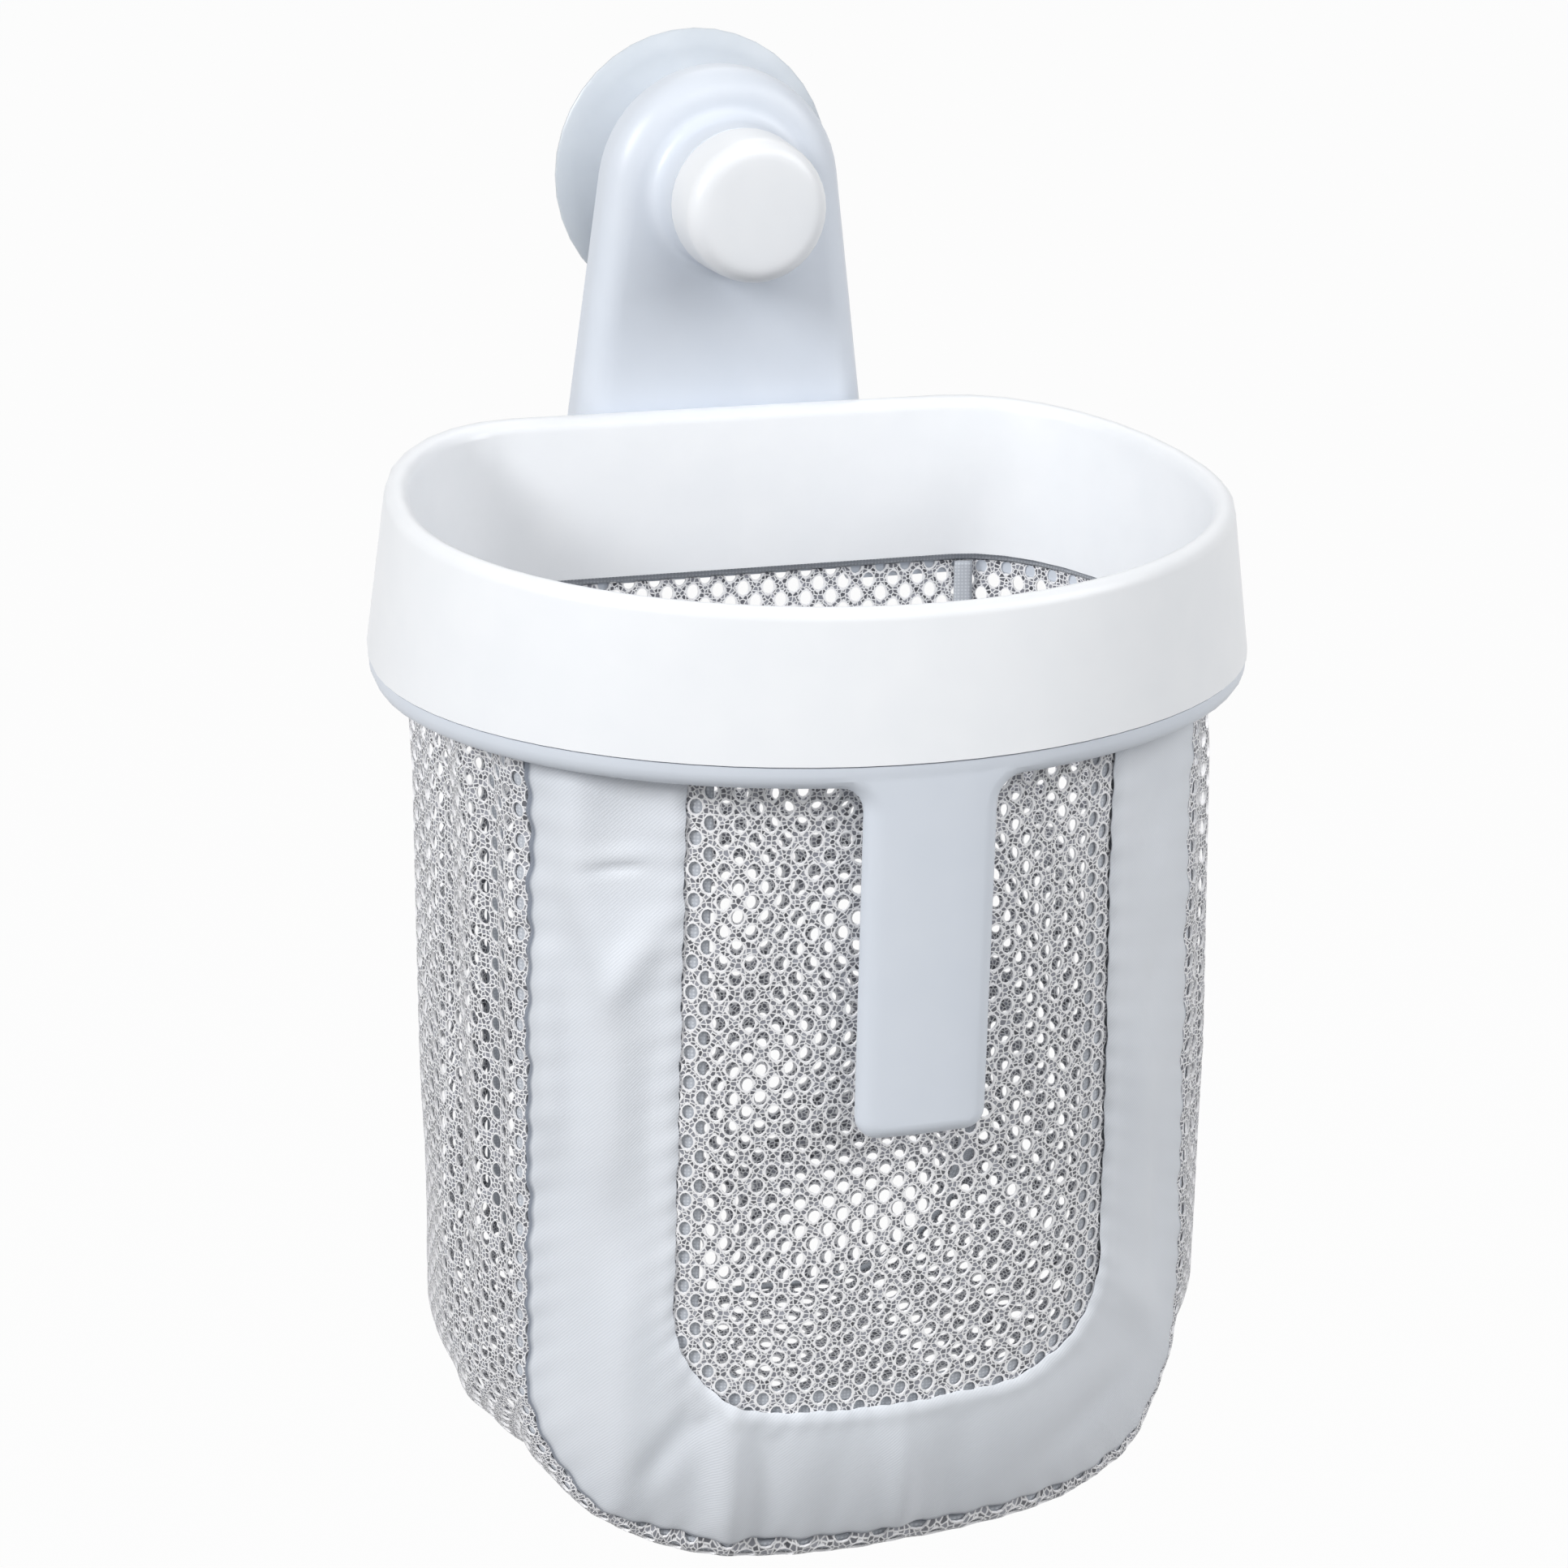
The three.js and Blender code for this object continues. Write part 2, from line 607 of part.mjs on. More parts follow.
// Lower ring: closes the channel and stops each side of the hook
const ringOuter = dLoop(RING_STEP, RING_STEP);
const ringInner = dLoop(HEM_INSET - GAP, HEM_BACK_INSET - GAP);
const ringSections = ringOuter.map((outer, i) => {
  const inner = ringInner[i];
  const width = outer.distanceTo(inner);
  const section = [];
  const steps = 4;
  section.push(at(outer, ringTop));
  for (let k = 0; k <= steps; k += 1) {
    const turn = (Math.PI / 2) * (k / steps);
    const share = (RING_ROUND * (1 - Math.cos(turn))) / width;
    section.push(at(outer.clone().lerp(inner, share), ringFoot + RING_ROUND * (1 - Math.sin(turn))));
  }
  section.push(at(outer.clone().lerp(inner, 0.92), ringFoot));
  section.push(at(inner, ringFoot + 0.8));
  section.push(at(inner, ringTop));
  return section;
});
let ring = ringBody(ringSections);
const hookRoom = HOOK_HALF_WIDTH + 2;
ring = ring.subtract(box(-hookRoom, hookRoom, -RIM_BACK - 12, -RIM_BACK + 2, ringFoot - 2, ringTop + 2));

// Handle: a tongue that hangs from the front of the ring and follows its curve
const handleTop = ringTop - 0.5;
const handleFoot = -RIM_FOOT - HANDLE_LENGTH;
const handleHalf = HANDLE_WIDTH / 2;

function ringFront(x) {
  const half = RIM_HALF_WIDTH - RING_STEP;
  return RIM_MIDDLE + (RIM_FRONT_DEPTH - RING_STEP) * Math.sqrt(1 - (x / half) ** 2);
}

// Rows of points across the handle, drawn in from its edge and set back from its face
function handleGrid(inset, depth) {
  const edge = [[handleHalf + HANDLE_FILLET, handleTop]];
  const steps = 5;
  for (let k = 0; k <= steps; k += 1) {
    const turn = (Math.PI / 2) * (k / steps);
    const radius = HANDLE_FILLET + inset;
    edge.push([handleHalf + HANDLE_FILLET - radius * Math.sin(turn),
      ringFoot - HANDLE_FILLET + radius * Math.cos(turn)]);
  }
  for (let k = 0; k <= steps; k += 1) {
    const turn = (Math.PI / 2) * (k / steps);
    const radius = HANDLE_CORNER - inset;
    edge.push([handleHalf - HANDLE_CORNER + radius * Math.cos(turn),
      handleFoot + HANDLE_CORNER - radius * Math.sin(turn)]);
  }
  return edge.map(([half, z]) => [1, 0.5, 0, -0.5, -1].map((share) => {
    const x = half * share;
    return v3(x, -ringFront(x) + HANDLE_SETBACK + depth, z);
  }));
}

const handleGrids = [];
for (let k = 0; k <= 3; k += 1) {
  const turn = (Math.PI / 2) * (k / 3);
  const inset = HANDLE_BACK_ROUND * (1 - Math.sin(turn));
  handleGrids.push(handleGrid(inset, HANDLE_THICKNESS - HANDLE_BACK_ROUND * (1 - Math.cos(turn))));
}
for (let k = 0; k <= 5; k += 1) {
  const turn = (Math.PI / 2) * (k / 5);
  const inset = HANDLE_FRONT_ROUND * (1 - Math.cos(turn));
  handleGrids.push(handleGrid(inset, HANDLE_FRONT_ROUND * (1 - Math.sin(turn))));
}
ring = ring.add(gridStack(handleGrids));
screwPlaces.forEach((place) => {
  const hole = upright([
    [0, ringFoot - 1],
    [SCREW_HEAD_RADIUS + GAP, ringFoot - 1],
    [SCREW_HEAD_RADIUS + GAP, screwSeat],
    [SCREW_RADIUS + GAP, screwSeat],
    [SCREW_RADIUS + GAP, ringTop + 1],
    [0, ringTop + 1],
  ], 10, place);
  ring = ring.subtract(hole);
});
addPart('handle_ring', ring, { color: 0xc3d0d9, roughness: 0.42, metalness: 0 });

// Screws, heads up into the underside of the ring
screwPlaces.forEach((place, index) => {
  const headFoot = screwSeat - GAP - SCREW_HEAD_HEIGHT;
  let screw = upright([
    [0, headFoot],
    [SCREW_HEAD_RADIUS - 0.4, headFoot],
    [SCREW_HEAD_RADIUS, headFoot + 0.4],
    [SCREW_HEAD_RADIUS, screwSeat - GAP],
    [SCREW_RADIUS, screwSeat - GAP],
    [SCREW_RADIUS, screwTip - 1.2],
    [0, screwTip],
  ], 10, place);
  const slot = SCREW_HEAD_RADIUS * 0.62;
  const blade = 0.35;
  const slotTop = headFoot + 0.8;
  screw = screw.subtract(box(place.x - slot, place.x + slot, place.y - blade, place.y + blade,
    headFoot - 1, slotTop));
  screw = screw.subtract(box(place.x - blade, place.x + blade, place.y - slot, place.y + slot,
    headFoot - 1, slotTop));
  addPart(`ring_screw_${index + 1}`, screw, { color: 0xa8abad, roughness: 0.35, metalness: 1 });
});

// Hem of the bag, held up in the channel by its beaded edge
const hemFoot = -RIM_FOOT - 2.2;
const wallHeight = RIM_HEIGHT_FRONT - LIP_HEIGHT - 1;
const wallLean = (innerInset - RIM_TOP_INSET - LIP_WIDTH + RIM_INNER_WALL) / wallHeight;
const hemLean = wallLean * HEM_HEIGHT;
const hemOuter = dLoop(HEM_INSET, HEM_BACK_INSET);
const hemInner = dLoop(HEM_INSET + HEM_THICKNESS, HEM_BACK_INSET + HEM_THICKNESS);
const hemOuterTop = dLoop(HEM_INSET - hemLean, HEM_BACK_INSET);
const hemInnerTop = dLoop(HEM_INSET + HEM_THICKNESS - hemLean, HEM_BACK_INSET + HEM_THICKNESS);
const hemSections = hemOuter.map((outer, i) => {
  const inner = hemInner[i];
  const outerTop = hemOuterTop[i];
  const away = outer.clone().sub(inner).normalize();
  const side = Math.min(1, Math.max(0, (-RIM_BACK - 9 - outer.y) / 30));
  const bead = outerTop.clone().addScaledVector(away, (HEM_BEAD - HEM_THICKNESS) * side);
  const top = -RIM_FOOT + HEM_HEIGHT;
  return [
    at(outer, hemFoot),
    at(outer, -RIM_FOOT),
    at(outerTop, top - 3),
    at(bead, top - 2),
    at(outerTop, top),
    at(hemInnerTop[i], top - 0.2),
    at(inner, -RIM_FOOT),
    at(inner, hemFoot),
  ];
});
addPart('bag_hem', ringBody(hemSections), { color: 0xb4bcc2, roughness: 0.9, metalness: 0 });

// Shape of the bag
const bagTop = hemFoot - GAP;
const bagFoot = bagTop - BAG_DROP;
const bagHalf = RIM_HALF_WIDTH - HEM_INSET;
const bagDepth = RIM_FRONT_DEPTH - HEM_INSET;
const bagBack = RIM_BACK + HEM_BACK_INSET;
const bagMiddle = v3(0, -RIM_MIDDLE, bagTop - BAG_DROP / 2);
const fall = (z) => (bagTop - z) / BAG_STRAIGHT;
const tuck = (z) => Math.max(0, (bagTop - BAG_STRAIGHT - z) / (BAG_DROP - BAG_STRAIGHT));

// Front face of the bag at a height and a width
function frontY(x, z) {
  const half = bagHalf + BAG_FLARE * Math.min(1, fall(z));
  const depth = bagDepth - BAG_RECEDE * Math.min(1, fall(z)) - BAG_UNDERCUT * tuck(z) ** 2;
  const share = Math.min(1, Math.abs(x) / half);
  return -RIM_MIDDLE - depth * Math.sqrt(1 - share * share);
}

const backY = (z) => -bagBack - BAG_UNDERCUT * 0.6 * tuck(z) ** 2;

// U outline: down one side, round the corner, along the foot and up again, at shares of each stretch
function uPath(half, flare, corner, top, foot, shares) {
  const low = half + flare;
  const bendTop = foot + corner;
  const down = shares.down.map((share) => v3(-half - flare * share, 0, top + (bendTop - top) * share));
  const bend = [...shares.bend, 1].map((share) => {
    const turn = (Math.PI / 2) * share;
    return v3(-low + corner * (1 - Math.cos(turn)), 0, bendTop - corner * Math.sin(turn));
  });
  const middle = shares.foot.map((share) => v3((low - corner) * (2 * share - 1), 0, foot));
  const left = [...down, ...bend];
  const right = left.map((p) => v3(-p.x, 0, p.z)).reverse();
  return [...left, ...middle, ...right];
}

// Even shares of a stretch, without its end
const evenShares = (count) => Array.from({ length: count }, (_, i) => i / count);

// Places of bars and openings in turn, from a bar at the start to a bar at the end
function netMarks(start, end, openings) {
  const pitch = (end - start) / (openings + NET_BAR);
  const marks = [];
  for (let k = 0; k <= openings; k += 1) {
    marks.push(start + pitch * k, start + pitch * (k + NET_BAR));
  }
  return marks;
}

// Shares of a stretch with as many bars as openings, without its end
const netShares = (openings) => netMarks(0, 1 + NET_BAR / openings, openings).slice(0, -2);

// Whether a point lies inside a U
function insideU(x, z, half, corner, foot) {
  const aside = Math.abs(x) - half + corner;
  const below = foot + corner - z;
  return aside <= 0 || below <= 0 || Math.hypot(aside, below) <= corner;
}

// Sheet of a net or a cloth on a face of the bag, trimmed to an outline
function faceSheet(xs, zs, depthAt, from, to, outline, isOpen) {
  const grid = zs.map((z) => xs.map((x) => v3(x, depthAt(x, z), z)));
  return sheetBody(grid, from, to, bagMiddle, isOpen).intersect(prism(outline, 0, 260));
}

// Which cells of a net are open: every other one each way, where all its corners are inside a U
function netOpenings(xs, zs, half, corner, foot) {
  return (i, j) => {
    const inGrid = i > 0 && j > 0 && i % 2 === 0 && j % 2 === 0 && i + 2 < zs.length && j + 2 < xs.length;
    const far = Math.max(Math.abs(xs[j]), Math.abs(xs[j + 1]));
    return inGrid && insideU(far, zs[i + 1], half, corner, foot);
  };
}

const evenMarks = (start, end, count) => [...evenShares(count).map((s) => start + (end - start) * s), end];

const pathShares = { down: evenShares(6), bend: evenShares(7), foot: evenShares(4).slice(1) };
const panelPath = uPath(FRONT_SEAM, SEAM_FLARE, BAG_CORNER, bagTop, bagFoot, pathShares);
const windowFoot = bagFoot + WINDOW_FLOOR;
const windowPath = uPath(WINDOW_HALF_WIDTH, 0, WINDOW_CORNER, bagTop + 5, windowFoot, pathShares);
const lapPath = uPath(WINDOW_HALF_WIDTH + WINDOW_LAP, 0, WINDOW_CORNER + WINDOW_LAP, bagTop + 5,
  windowFoot - WINDOW_LAP, pathShares);
const facingHalf = WINDOW_HALF_WIDTH - FACING_WIDTH;
const facingCorner = WINDOW_CORNER - FACING_WIDTH;
const facingFoot = windowFoot + FACING_WIDTH;
const facingPath = uPath(facingHalf, 0, facingCorner, bagTop + 5, facingFoot, pathShares);
const panelHalf = FRONT_SEAM + SEAM_FLARE + 1;
const panelSheet = faceSheet(evenMarks(-panelHalf, panelHalf, 18), evenMarks(bagTop, bagFoot - 1, 11), frontY,
  0, CLOTH, panelPath);
const panel = panelSheet.subtract(prism(windowPath, 0, 260));
addPart('front_panel', panel, { color: 0xc6ccd2, roughness: 0.85, metalness: 0 });

const netLook = { color: 0xaeb6bc, roughness: 0.8, metalness: 0 };
const netFrom = CLOTH + 0.3;
const lapHalf = WINDOW_HALF_WIDTH + WINDOW_LAP + 1;
const lapFoot = windowFoot - WINDOW_LAP - 1;
const windowXs = [-lapHalf, ...netMarks(-facingHalf, facingHalf, WINDOW_OPENINGS.across), lapHalf];
const windowZs = [bagTop, ...netMarks(bagTop - 1, facingFoot, WINDOW_OPENINGS.down), lapFoot];
const windowMesh = faceSheet(windowXs, windowZs, frontY, netFrom, netFrom + MESH, lapPath,
  netOpenings(windowXs, windowZs, facingHalf, facingCorner, facingFoot));
addPart('window_mesh', windowMesh, netLook);

const facingFrom = netFrom + MESH + 0.3;
const facingSheet = faceSheet(windowXs, windowZs, frontY, facingFrom, facingFrom + FACING, lapPath);
const facing = facingSheet.subtract(prism(facingPath, 0, 260));
addPart('window_facing', facing, { color: 0xb4bcc2, roughness: 0.9, metalness: 0 });

// Back panel: flat, with its foot tucked forward
const backFoot = bagFoot + BACK_RISE;
const backCorner = BAG_CORNER * 0.9;
const backPath = uPath(BACK_SEAM, SEAM_FLARE, backCorner, bagTop, backFoot, pathShares);
const backNetHalf = BACK_SEAM - TAPE_WIDTH;
const backNetFoot = backFoot + TAPE_WIDTH;
const backReach = BACK_SEAM + SEAM_FLARE + 2;
const backXs = [-backReach, ...netMarks(-backNetHalf, backNetHalf, BACK_OPENINGS.across), backReach];
const backZs = [bagTop, ...netMarks(bagTop - 1, backNetFoot, BACK_OPENINGS.down), backFoot - 2];
const backMesh = faceSheet(backXs, backZs, (x, z) => backY(z), 0, MESH, backPath,
  netOpenings(backXs, backZs, backNetHalf, backCorner - TAPE_WIDTH, backNetFoot));
addPart('back_panel', backMesh, netLook);

// Side and bottom gusset: one strip from the front seam to the back seam
function sideCurve() {
  const loop = dLoop(HEM_INSET, HEM_BACK_INSET).filter((p) => p.x < 0);
  const dense = [];
  const seamY = frontY(FRONT_SEAM, bagTop);
  dense.push(v3(-FRONT_SEAM, seamY, 0));
  loop.forEach((p, i) => {
    if (i % 2 === 0 && p.y > seamY + 2 && p.x < -BACK_SEAM - 2) {
      dense.push(p);
    }
  });
  dense.push(v3(-BACK_SEAM, -bagBack, 0));
  return dense;
}

const side = sideCurve();
const sideFirst = side[0];
const sideLast = side[side.length - 1];
const lengths = [0];
for (let i = 1; i < side.length; i += 1) {
  lengths.push(lengths[i - 1] + side[i].distanceTo(side[i - 1]));
}
const sideLength = lengths[lengths.length - 1];
const bulges = side.map((p, i) => {
  const share = lengths[i] / sideLength;
  const chord = sideFirst.clone().lerp(sideLast, share);
  return { share, out: chord.x - p.x, along: p.y - chord.y };
});

function bulgeAt(distance) {
  const share = distance / sideLength;
  const next = Math.max(1, bulges.findIndex((bulge) => bulge.share >= share - 1e-9));
  const a = bulges[next - 1];
  const b = bulges[next];
  const blend = (share - a.share) / (b.share - a.share);
  return {
    share,
    out: a.out + (b.out - a.out) * blend,
    along: a.along + (b.along - a.along) * blend,
  };
}

// Which way the strip bulges at a point of the front seam, and how much
function outwardAt(p) {
  const drop = Math.max(0, bagFoot + BAG_CORNER - p.z);
  const reach = Math.max(0, Math.abs(p.x) - FRONT_SEAM - SEAM_FLARE + BAG_CORNER);
  const turn = Math.atan2(drop, reach);
  const under = Math.sin(turn) ** 2;
  const swell = 1 - under + BAG_SAG * under - BAG_PINCH * Math.sin(2 * turn) ** 2;
  return { x: Math.sign(p.x) * Math.cos(turn), z: -Math.sin(turn), swell, under };
}

// How far the strip rolls out past the panel's foot, at a distance from the front seam
function rollAt(distance) {
  return ROLL_DROP * (1 - Math.exp(-distance / ROLL_WIDTH)) * Math.exp(-distance / ROLL_FADE);
}

// A strip of the bag's side at some distances from the front seam
const sideShares = {
  down: netShares(SIDE_OPENINGS.down),
  bend: netShares(SIDE_OPENINGS.bend),
  foot: netMarks(0, 1, SIDE_OPENINGS.foot).slice(1, -1),
};
const sideFront = uPath(FRONT_SEAM, SEAM_FLARE, BAG_CORNER, bagTop, bagFoot, sideShares);
const sideBack = uPath(BACK_SEAM, SEAM_FLARE, backCorner, bagTop, backFoot, sideShares);

function sideGrid(distances) {
  return sideFront.map((p, i) => {
    const q = sideBack[i];
    const start = v3(p.x, frontY(p.x, p.z), p.z);
    const end = v3(q.x, backY(q.z), q.z);
    const outward = outwardAt(p);
    return distances.map((distance) => {
      const bulge = bulgeAt(distance);
      const point = start.clone().lerp(end, bulge.share);
      const out = outward.swell * bulge.out + outward.under * rollAt(distance);
      point.x += outward.x * out;
      point.z += outward.z * out;
      point.y += bulge.along;
      return point;
    });
  });
}

const keepHalf = panelHalf + 1;
const keepFront = faceSheet(evenMarks(-keepHalf, keepHalf, 20), evenMarks(bagTop, bagFoot - 2, 13), frontY,
  -GAP, CLOTH + GAP, uPath(FRONT_SEAM + GAP, SEAM_FLARE, BAG_CORNER, bagTop + 1, bagFoot - GAP, pathShares));
const keepBack = faceSheet(backXs, backZs, (x, z) => backY(z), -GAP, MESH + GAP,
  uPath(BACK_SEAM + GAP, SEAM_FLARE, backCorner, bagTop + 1, backFoot - GAP, pathShares));
const seamBand = TAPE_INSET + TAPE_WIDTH;
const rollMarks = [0, 0.5, 1.3].map((share) => ROLL_WIDTH * share);
const sideMarks = [
  ...rollMarks,
  ...netMarks(seamBand, sideLength - seamBand, SIDE_OPENINGS.across),
  sideLength - TAPE_INSET - TAPE_WIDTH / 2,
  sideLength,
];
const sideOpen = (i, j) => {
  const fromEnd = Math.min(i, sideFront.length - 2 - i);
  const opening = j - rollMarks.length;
  return fromEnd % 2 === 1 && opening % 2 === 1 && opening < 2 * SIDE_OPENINGS.across;
};
const gusset = sheetBody(sideGrid(sideMarks), 0, MESH, bagMiddle, sideOpen);
addPart('side_gusset', mainBody(gusset.subtract(keepFront).subtract(keepBack)), netLook);

// Tapes that bind the front and back seams on the inside of the gusset
function seamTape(first) {
  const marks = [0, 0.5, 1].map((share) => first + TAPE_WIDTH * share);
  const tape = sheetBody(sideGrid(marks), MESH + GAP, MESH + GAP + FACING, bagMiddle);
  return mainBody(tape.subtract(keepFront).subtract(keepBack));
}

const tapeLook = { color: 0xb4bcc2, roughness: 0.9, metalness: 0 };
addPart('front_seam_tape', seamTape(TAPE_INSET), tapeLook);
addPart('back_seam_tape', seamTape(sideLength - seamBand), tapeLook);

export default part;
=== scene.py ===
# %% [markdown]
# # A bath toy organizer
# The real thing is a plastic scoop with a sewn mesh bag. It hangs on a hooked bracket, and a
# suction cup with a twist knob holds the bracket to a tiled wall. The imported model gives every
# rigid piece its true shape, so this lesson loads it as a fixed frame and then adds what the
# frame leaves plain: the finish of each plastic, the woven cloth and the open net.

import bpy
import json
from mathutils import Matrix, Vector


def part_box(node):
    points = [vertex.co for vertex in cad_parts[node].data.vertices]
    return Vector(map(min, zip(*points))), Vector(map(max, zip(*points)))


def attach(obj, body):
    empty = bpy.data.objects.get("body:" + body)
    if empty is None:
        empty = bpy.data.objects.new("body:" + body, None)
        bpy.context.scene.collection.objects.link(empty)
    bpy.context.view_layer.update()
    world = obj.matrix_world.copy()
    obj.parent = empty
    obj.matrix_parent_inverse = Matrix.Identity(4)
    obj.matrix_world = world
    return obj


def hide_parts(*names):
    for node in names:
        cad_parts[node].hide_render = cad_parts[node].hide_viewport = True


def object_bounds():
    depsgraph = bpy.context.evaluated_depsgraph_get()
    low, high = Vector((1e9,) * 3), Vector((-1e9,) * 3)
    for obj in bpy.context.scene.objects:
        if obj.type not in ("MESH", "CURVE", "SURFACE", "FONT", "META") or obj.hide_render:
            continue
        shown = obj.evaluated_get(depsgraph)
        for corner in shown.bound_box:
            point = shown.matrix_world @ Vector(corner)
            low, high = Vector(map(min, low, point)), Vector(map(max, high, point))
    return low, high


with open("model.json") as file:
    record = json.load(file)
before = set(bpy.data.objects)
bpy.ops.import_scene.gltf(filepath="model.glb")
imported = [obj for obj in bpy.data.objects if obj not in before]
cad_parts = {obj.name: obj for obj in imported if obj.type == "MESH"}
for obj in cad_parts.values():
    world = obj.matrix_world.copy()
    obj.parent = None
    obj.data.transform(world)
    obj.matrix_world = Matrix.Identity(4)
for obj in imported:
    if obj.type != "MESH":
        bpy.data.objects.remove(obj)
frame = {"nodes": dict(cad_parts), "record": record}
print("packed pieces:", len(frame["nodes"]))

# %% Keep the size of the bare model
import json
import math

import bpy
import numpy as np
from mathutils import Matrix, Vector

MM = 0.001
cad_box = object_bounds()
print("bare model, mm:", [round(float(x) / MM, 1) for x in cad_box[1] - cad_box[0]])

# %% [markdown]
# ## Camera
# The picture looks down into the scoop from its left. A camera could be placed by eye, but the
# rounded rim makes that slow. Here it is an 85 mm portrait lens at a known turn, height and
# distance from a point inside the bag, and a small roll, so each number can be changed alone.

# %% Set the camera
AZIMUTH = math.radians(-18)
ELEVATION = math.radians(19.54)
ROLL = math.radians(1.237)
DISTANCE = 0.9386
TARGET = Vector((0.00425, -0.075, -0.14289))

back = Vector((math.sin(AZIMUTH) * math.cos(ELEVATION),
               -math.cos(AZIMUTH) * math.cos(ELEVATION),
               math.sin(ELEVATION)))
level = Vector((math.cos(AZIMUTH), math.sin(AZIMUTH), 0))
upright = back.cross(level)
right = level * math.cos(ROLL) + upright * math.sin(ROLL)
up = upright * math.cos(ROLL) - level * math.sin(ROLL)

lens = bpy.data.cameras.new("portrait_lens")
lens.lens = 85
lens.sensor_width = 36
lens.clip_start = 0.05
camera = bpy.data.objects.new("camera", lens)
place = Matrix((right, up, back)).transposed().to_4x4()
place.translation = TARGET + back * DISTANCE
camera.matrix_world = place
bpy.context.scene.collection.objects.link(camera)
bpy.context.scene.camera = camera
print("camera at", [round(x, 3) for x in place.translation])

# %% [markdown]
# ## Colours and nodes
# Colours are picked as sRGB hex values, which is how they look on a screen. Blender's shaders
# work in linear light, so one function turns the one into the other. A second small function
# adds a node, sets it and links it, which keeps each material short enough to read at a glance.

# %% Helpers for materials
def linear(hex_colour):
    """An sRGB hex value as a linear RGBA colour."""
    channels = [int(hex_colour[i:i + 2], 16) / 255 for i in (1, 3, 5)]
    light = [c / 12.92 if c <= 0.04045 else ((c + 0.055) / 1.055) ** 2.4 for c in channels]
    return (*light, 1)


def add(tree, kind, sockets=None, **settings):
    """Add a node; a socket value that is itself an output is linked, any other is set."""
    node = tree.nodes.new(kind)
    for name, value in settings.items():
        setattr(node, name, value)
    for name, value in (sockets or {}).items():
        if isinstance(value, bpy.types.NodeSocket):
            tree.links.new(value, node.inputs[name])
        else:
            node.inputs[name].default_value = value
    return node


def new_material(name):
    """An empty material: its node tree and its shader."""
    material = bpy.data.materials.new(name)
    material.use_nodes = True
    return material, material.node_tree, material.node_tree.nodes["Principled BSDF"]


def grain(size_mm):
    """The scale that gives a texture features of this size in object space, which is in metres."""
    return 1 / (size_mm * MM)


print("linear mid grey:", [round(c, 3) for c in linear("#808080")[:3]])

# %% [markdown]
# ## Floor, background and light
# The organizer hangs in the air in front of a white background. A white floor that is lit
# until it clips would also overexpose the white rim, so the floor is only told to look white
# to the camera, and it still takes a trace of shadow. Light comes from a soft lamp on the
# left, weaker and larger ones in front, on the right and behind, and a dim world fills the rest.

# %% Lay the floor
FLOOR_DROP = 0.42
FLOOR_SIZE = 24
PAPER = 0.97

bpy.ops.mesh.primitive_plane_add(size=FLOOR_SIZE, location=(0, 0, cad_box[0].z - FLOOR_DROP))
floor = bpy.context.object
floor.name = "paper_floor"
paper, tree, shader = new_material("white paper, matt")
shader.inputs["Base Color"].default_value = linear("#A8A8A8")
shader.inputs["Roughness"].default_value = 0.9
seen = add(tree, "ShaderNodeLightPath")
lens_rays = add(tree, "ShaderNodeMath", {0: seen.outputs["Is Camera Ray"], 1: PAPER}, operation="MULTIPLY")
mirror_rays = add(tree, "ShaderNodeMath", {0: seen.outputs["Is Glossy Ray"],
                                           1: seen.outputs["Is Transmission Ray"]}, operation="MAXIMUM")
shine = add(tree, "ShaderNodeMath", {0: mirror_rays.outputs[0], 1: PAPER}, operation="MULTIPLY")
share = add(tree, "ShaderNodeMath", {0: lens_rays.outputs[0], 1: shine.outputs[0]}, operation="MAXIMUM")
glow = add(tree, "ShaderNodeEmission", {"Color": (1, 1, 1, 1), "Strength": 1})
mixed = add(tree, "ShaderNodeMixShader", {0: share.outputs[0], 1: shader.outputs[0], 2: glow.outputs[0]})
tree.links.new(mixed.outputs[0], tree.nodes["Material Output"].inputs["Surface"])
floor.data.materials.append(paper)
print("floor at", round(floor.location.z, 3), "m")

# %% Surround it with white
FILL = 0.2

world = bpy.data.worlds.new("white_surround")
bpy.context.scene.world = world
world.use_nodes = True
tree = world.node_tree
sky = tree.nodes["Background"]
sky.inputs["Color"].default_value = (1, 1, 1, 1)
seen = add(tree, "ShaderNodeLightPath")
direct = add(tree, "ShaderNodeMath", {0: seen.outputs["Is Camera Ray"],
                                      1: seen.outputs["Is Transmission Ray"]}, operation="MAXIMUM")
direct = add(tree, "ShaderNodeMath", {0: direct.outputs[0],
                                      1: seen.outputs["Is Glossy Ray"]}, operation="MAXIMUM")
level_of_fill = add(tree, "ShaderNodeMapRange", {"Value": direct.outputs[0], "To Min": FILL, "To Max": 1.0})
tree.links.new(level_of_fill.outputs[0], sky.inputs["Strength"])
bpy.context.scene.view_settings.view_transform = "Standard"
print("world fill", FILL)

# %% Hang the lamps
def softbox(name, place, watts, size):
    """A square lamp that faces the middle of the bag."""
    lamp = bpy.data.lights.new(name, "AREA")
    lamp.energy = watts
    lamp.size = size
    holder = bpy.data.objects.new(name, lamp)
    holder.location = place
    aim = TARGET - Vector(place)
    holder.rotation_euler = aim.to_track_quat("-Z", "Y").to_euler()
    bpy.context.scene.collection.objects.link(holder)
    return holder


softbox("key_left", (-1.88, -0.95, 1.06), 40, 0.7)
softbox("front_soft", (0.25, -2.0, 1.5), 15, 1.2)
softbox("fill_right", (1.5, -1.1, 1.0), 18, 1.2)
softbox("rim_back", (0.4, 1.2, 1.3), 3, 0.9)

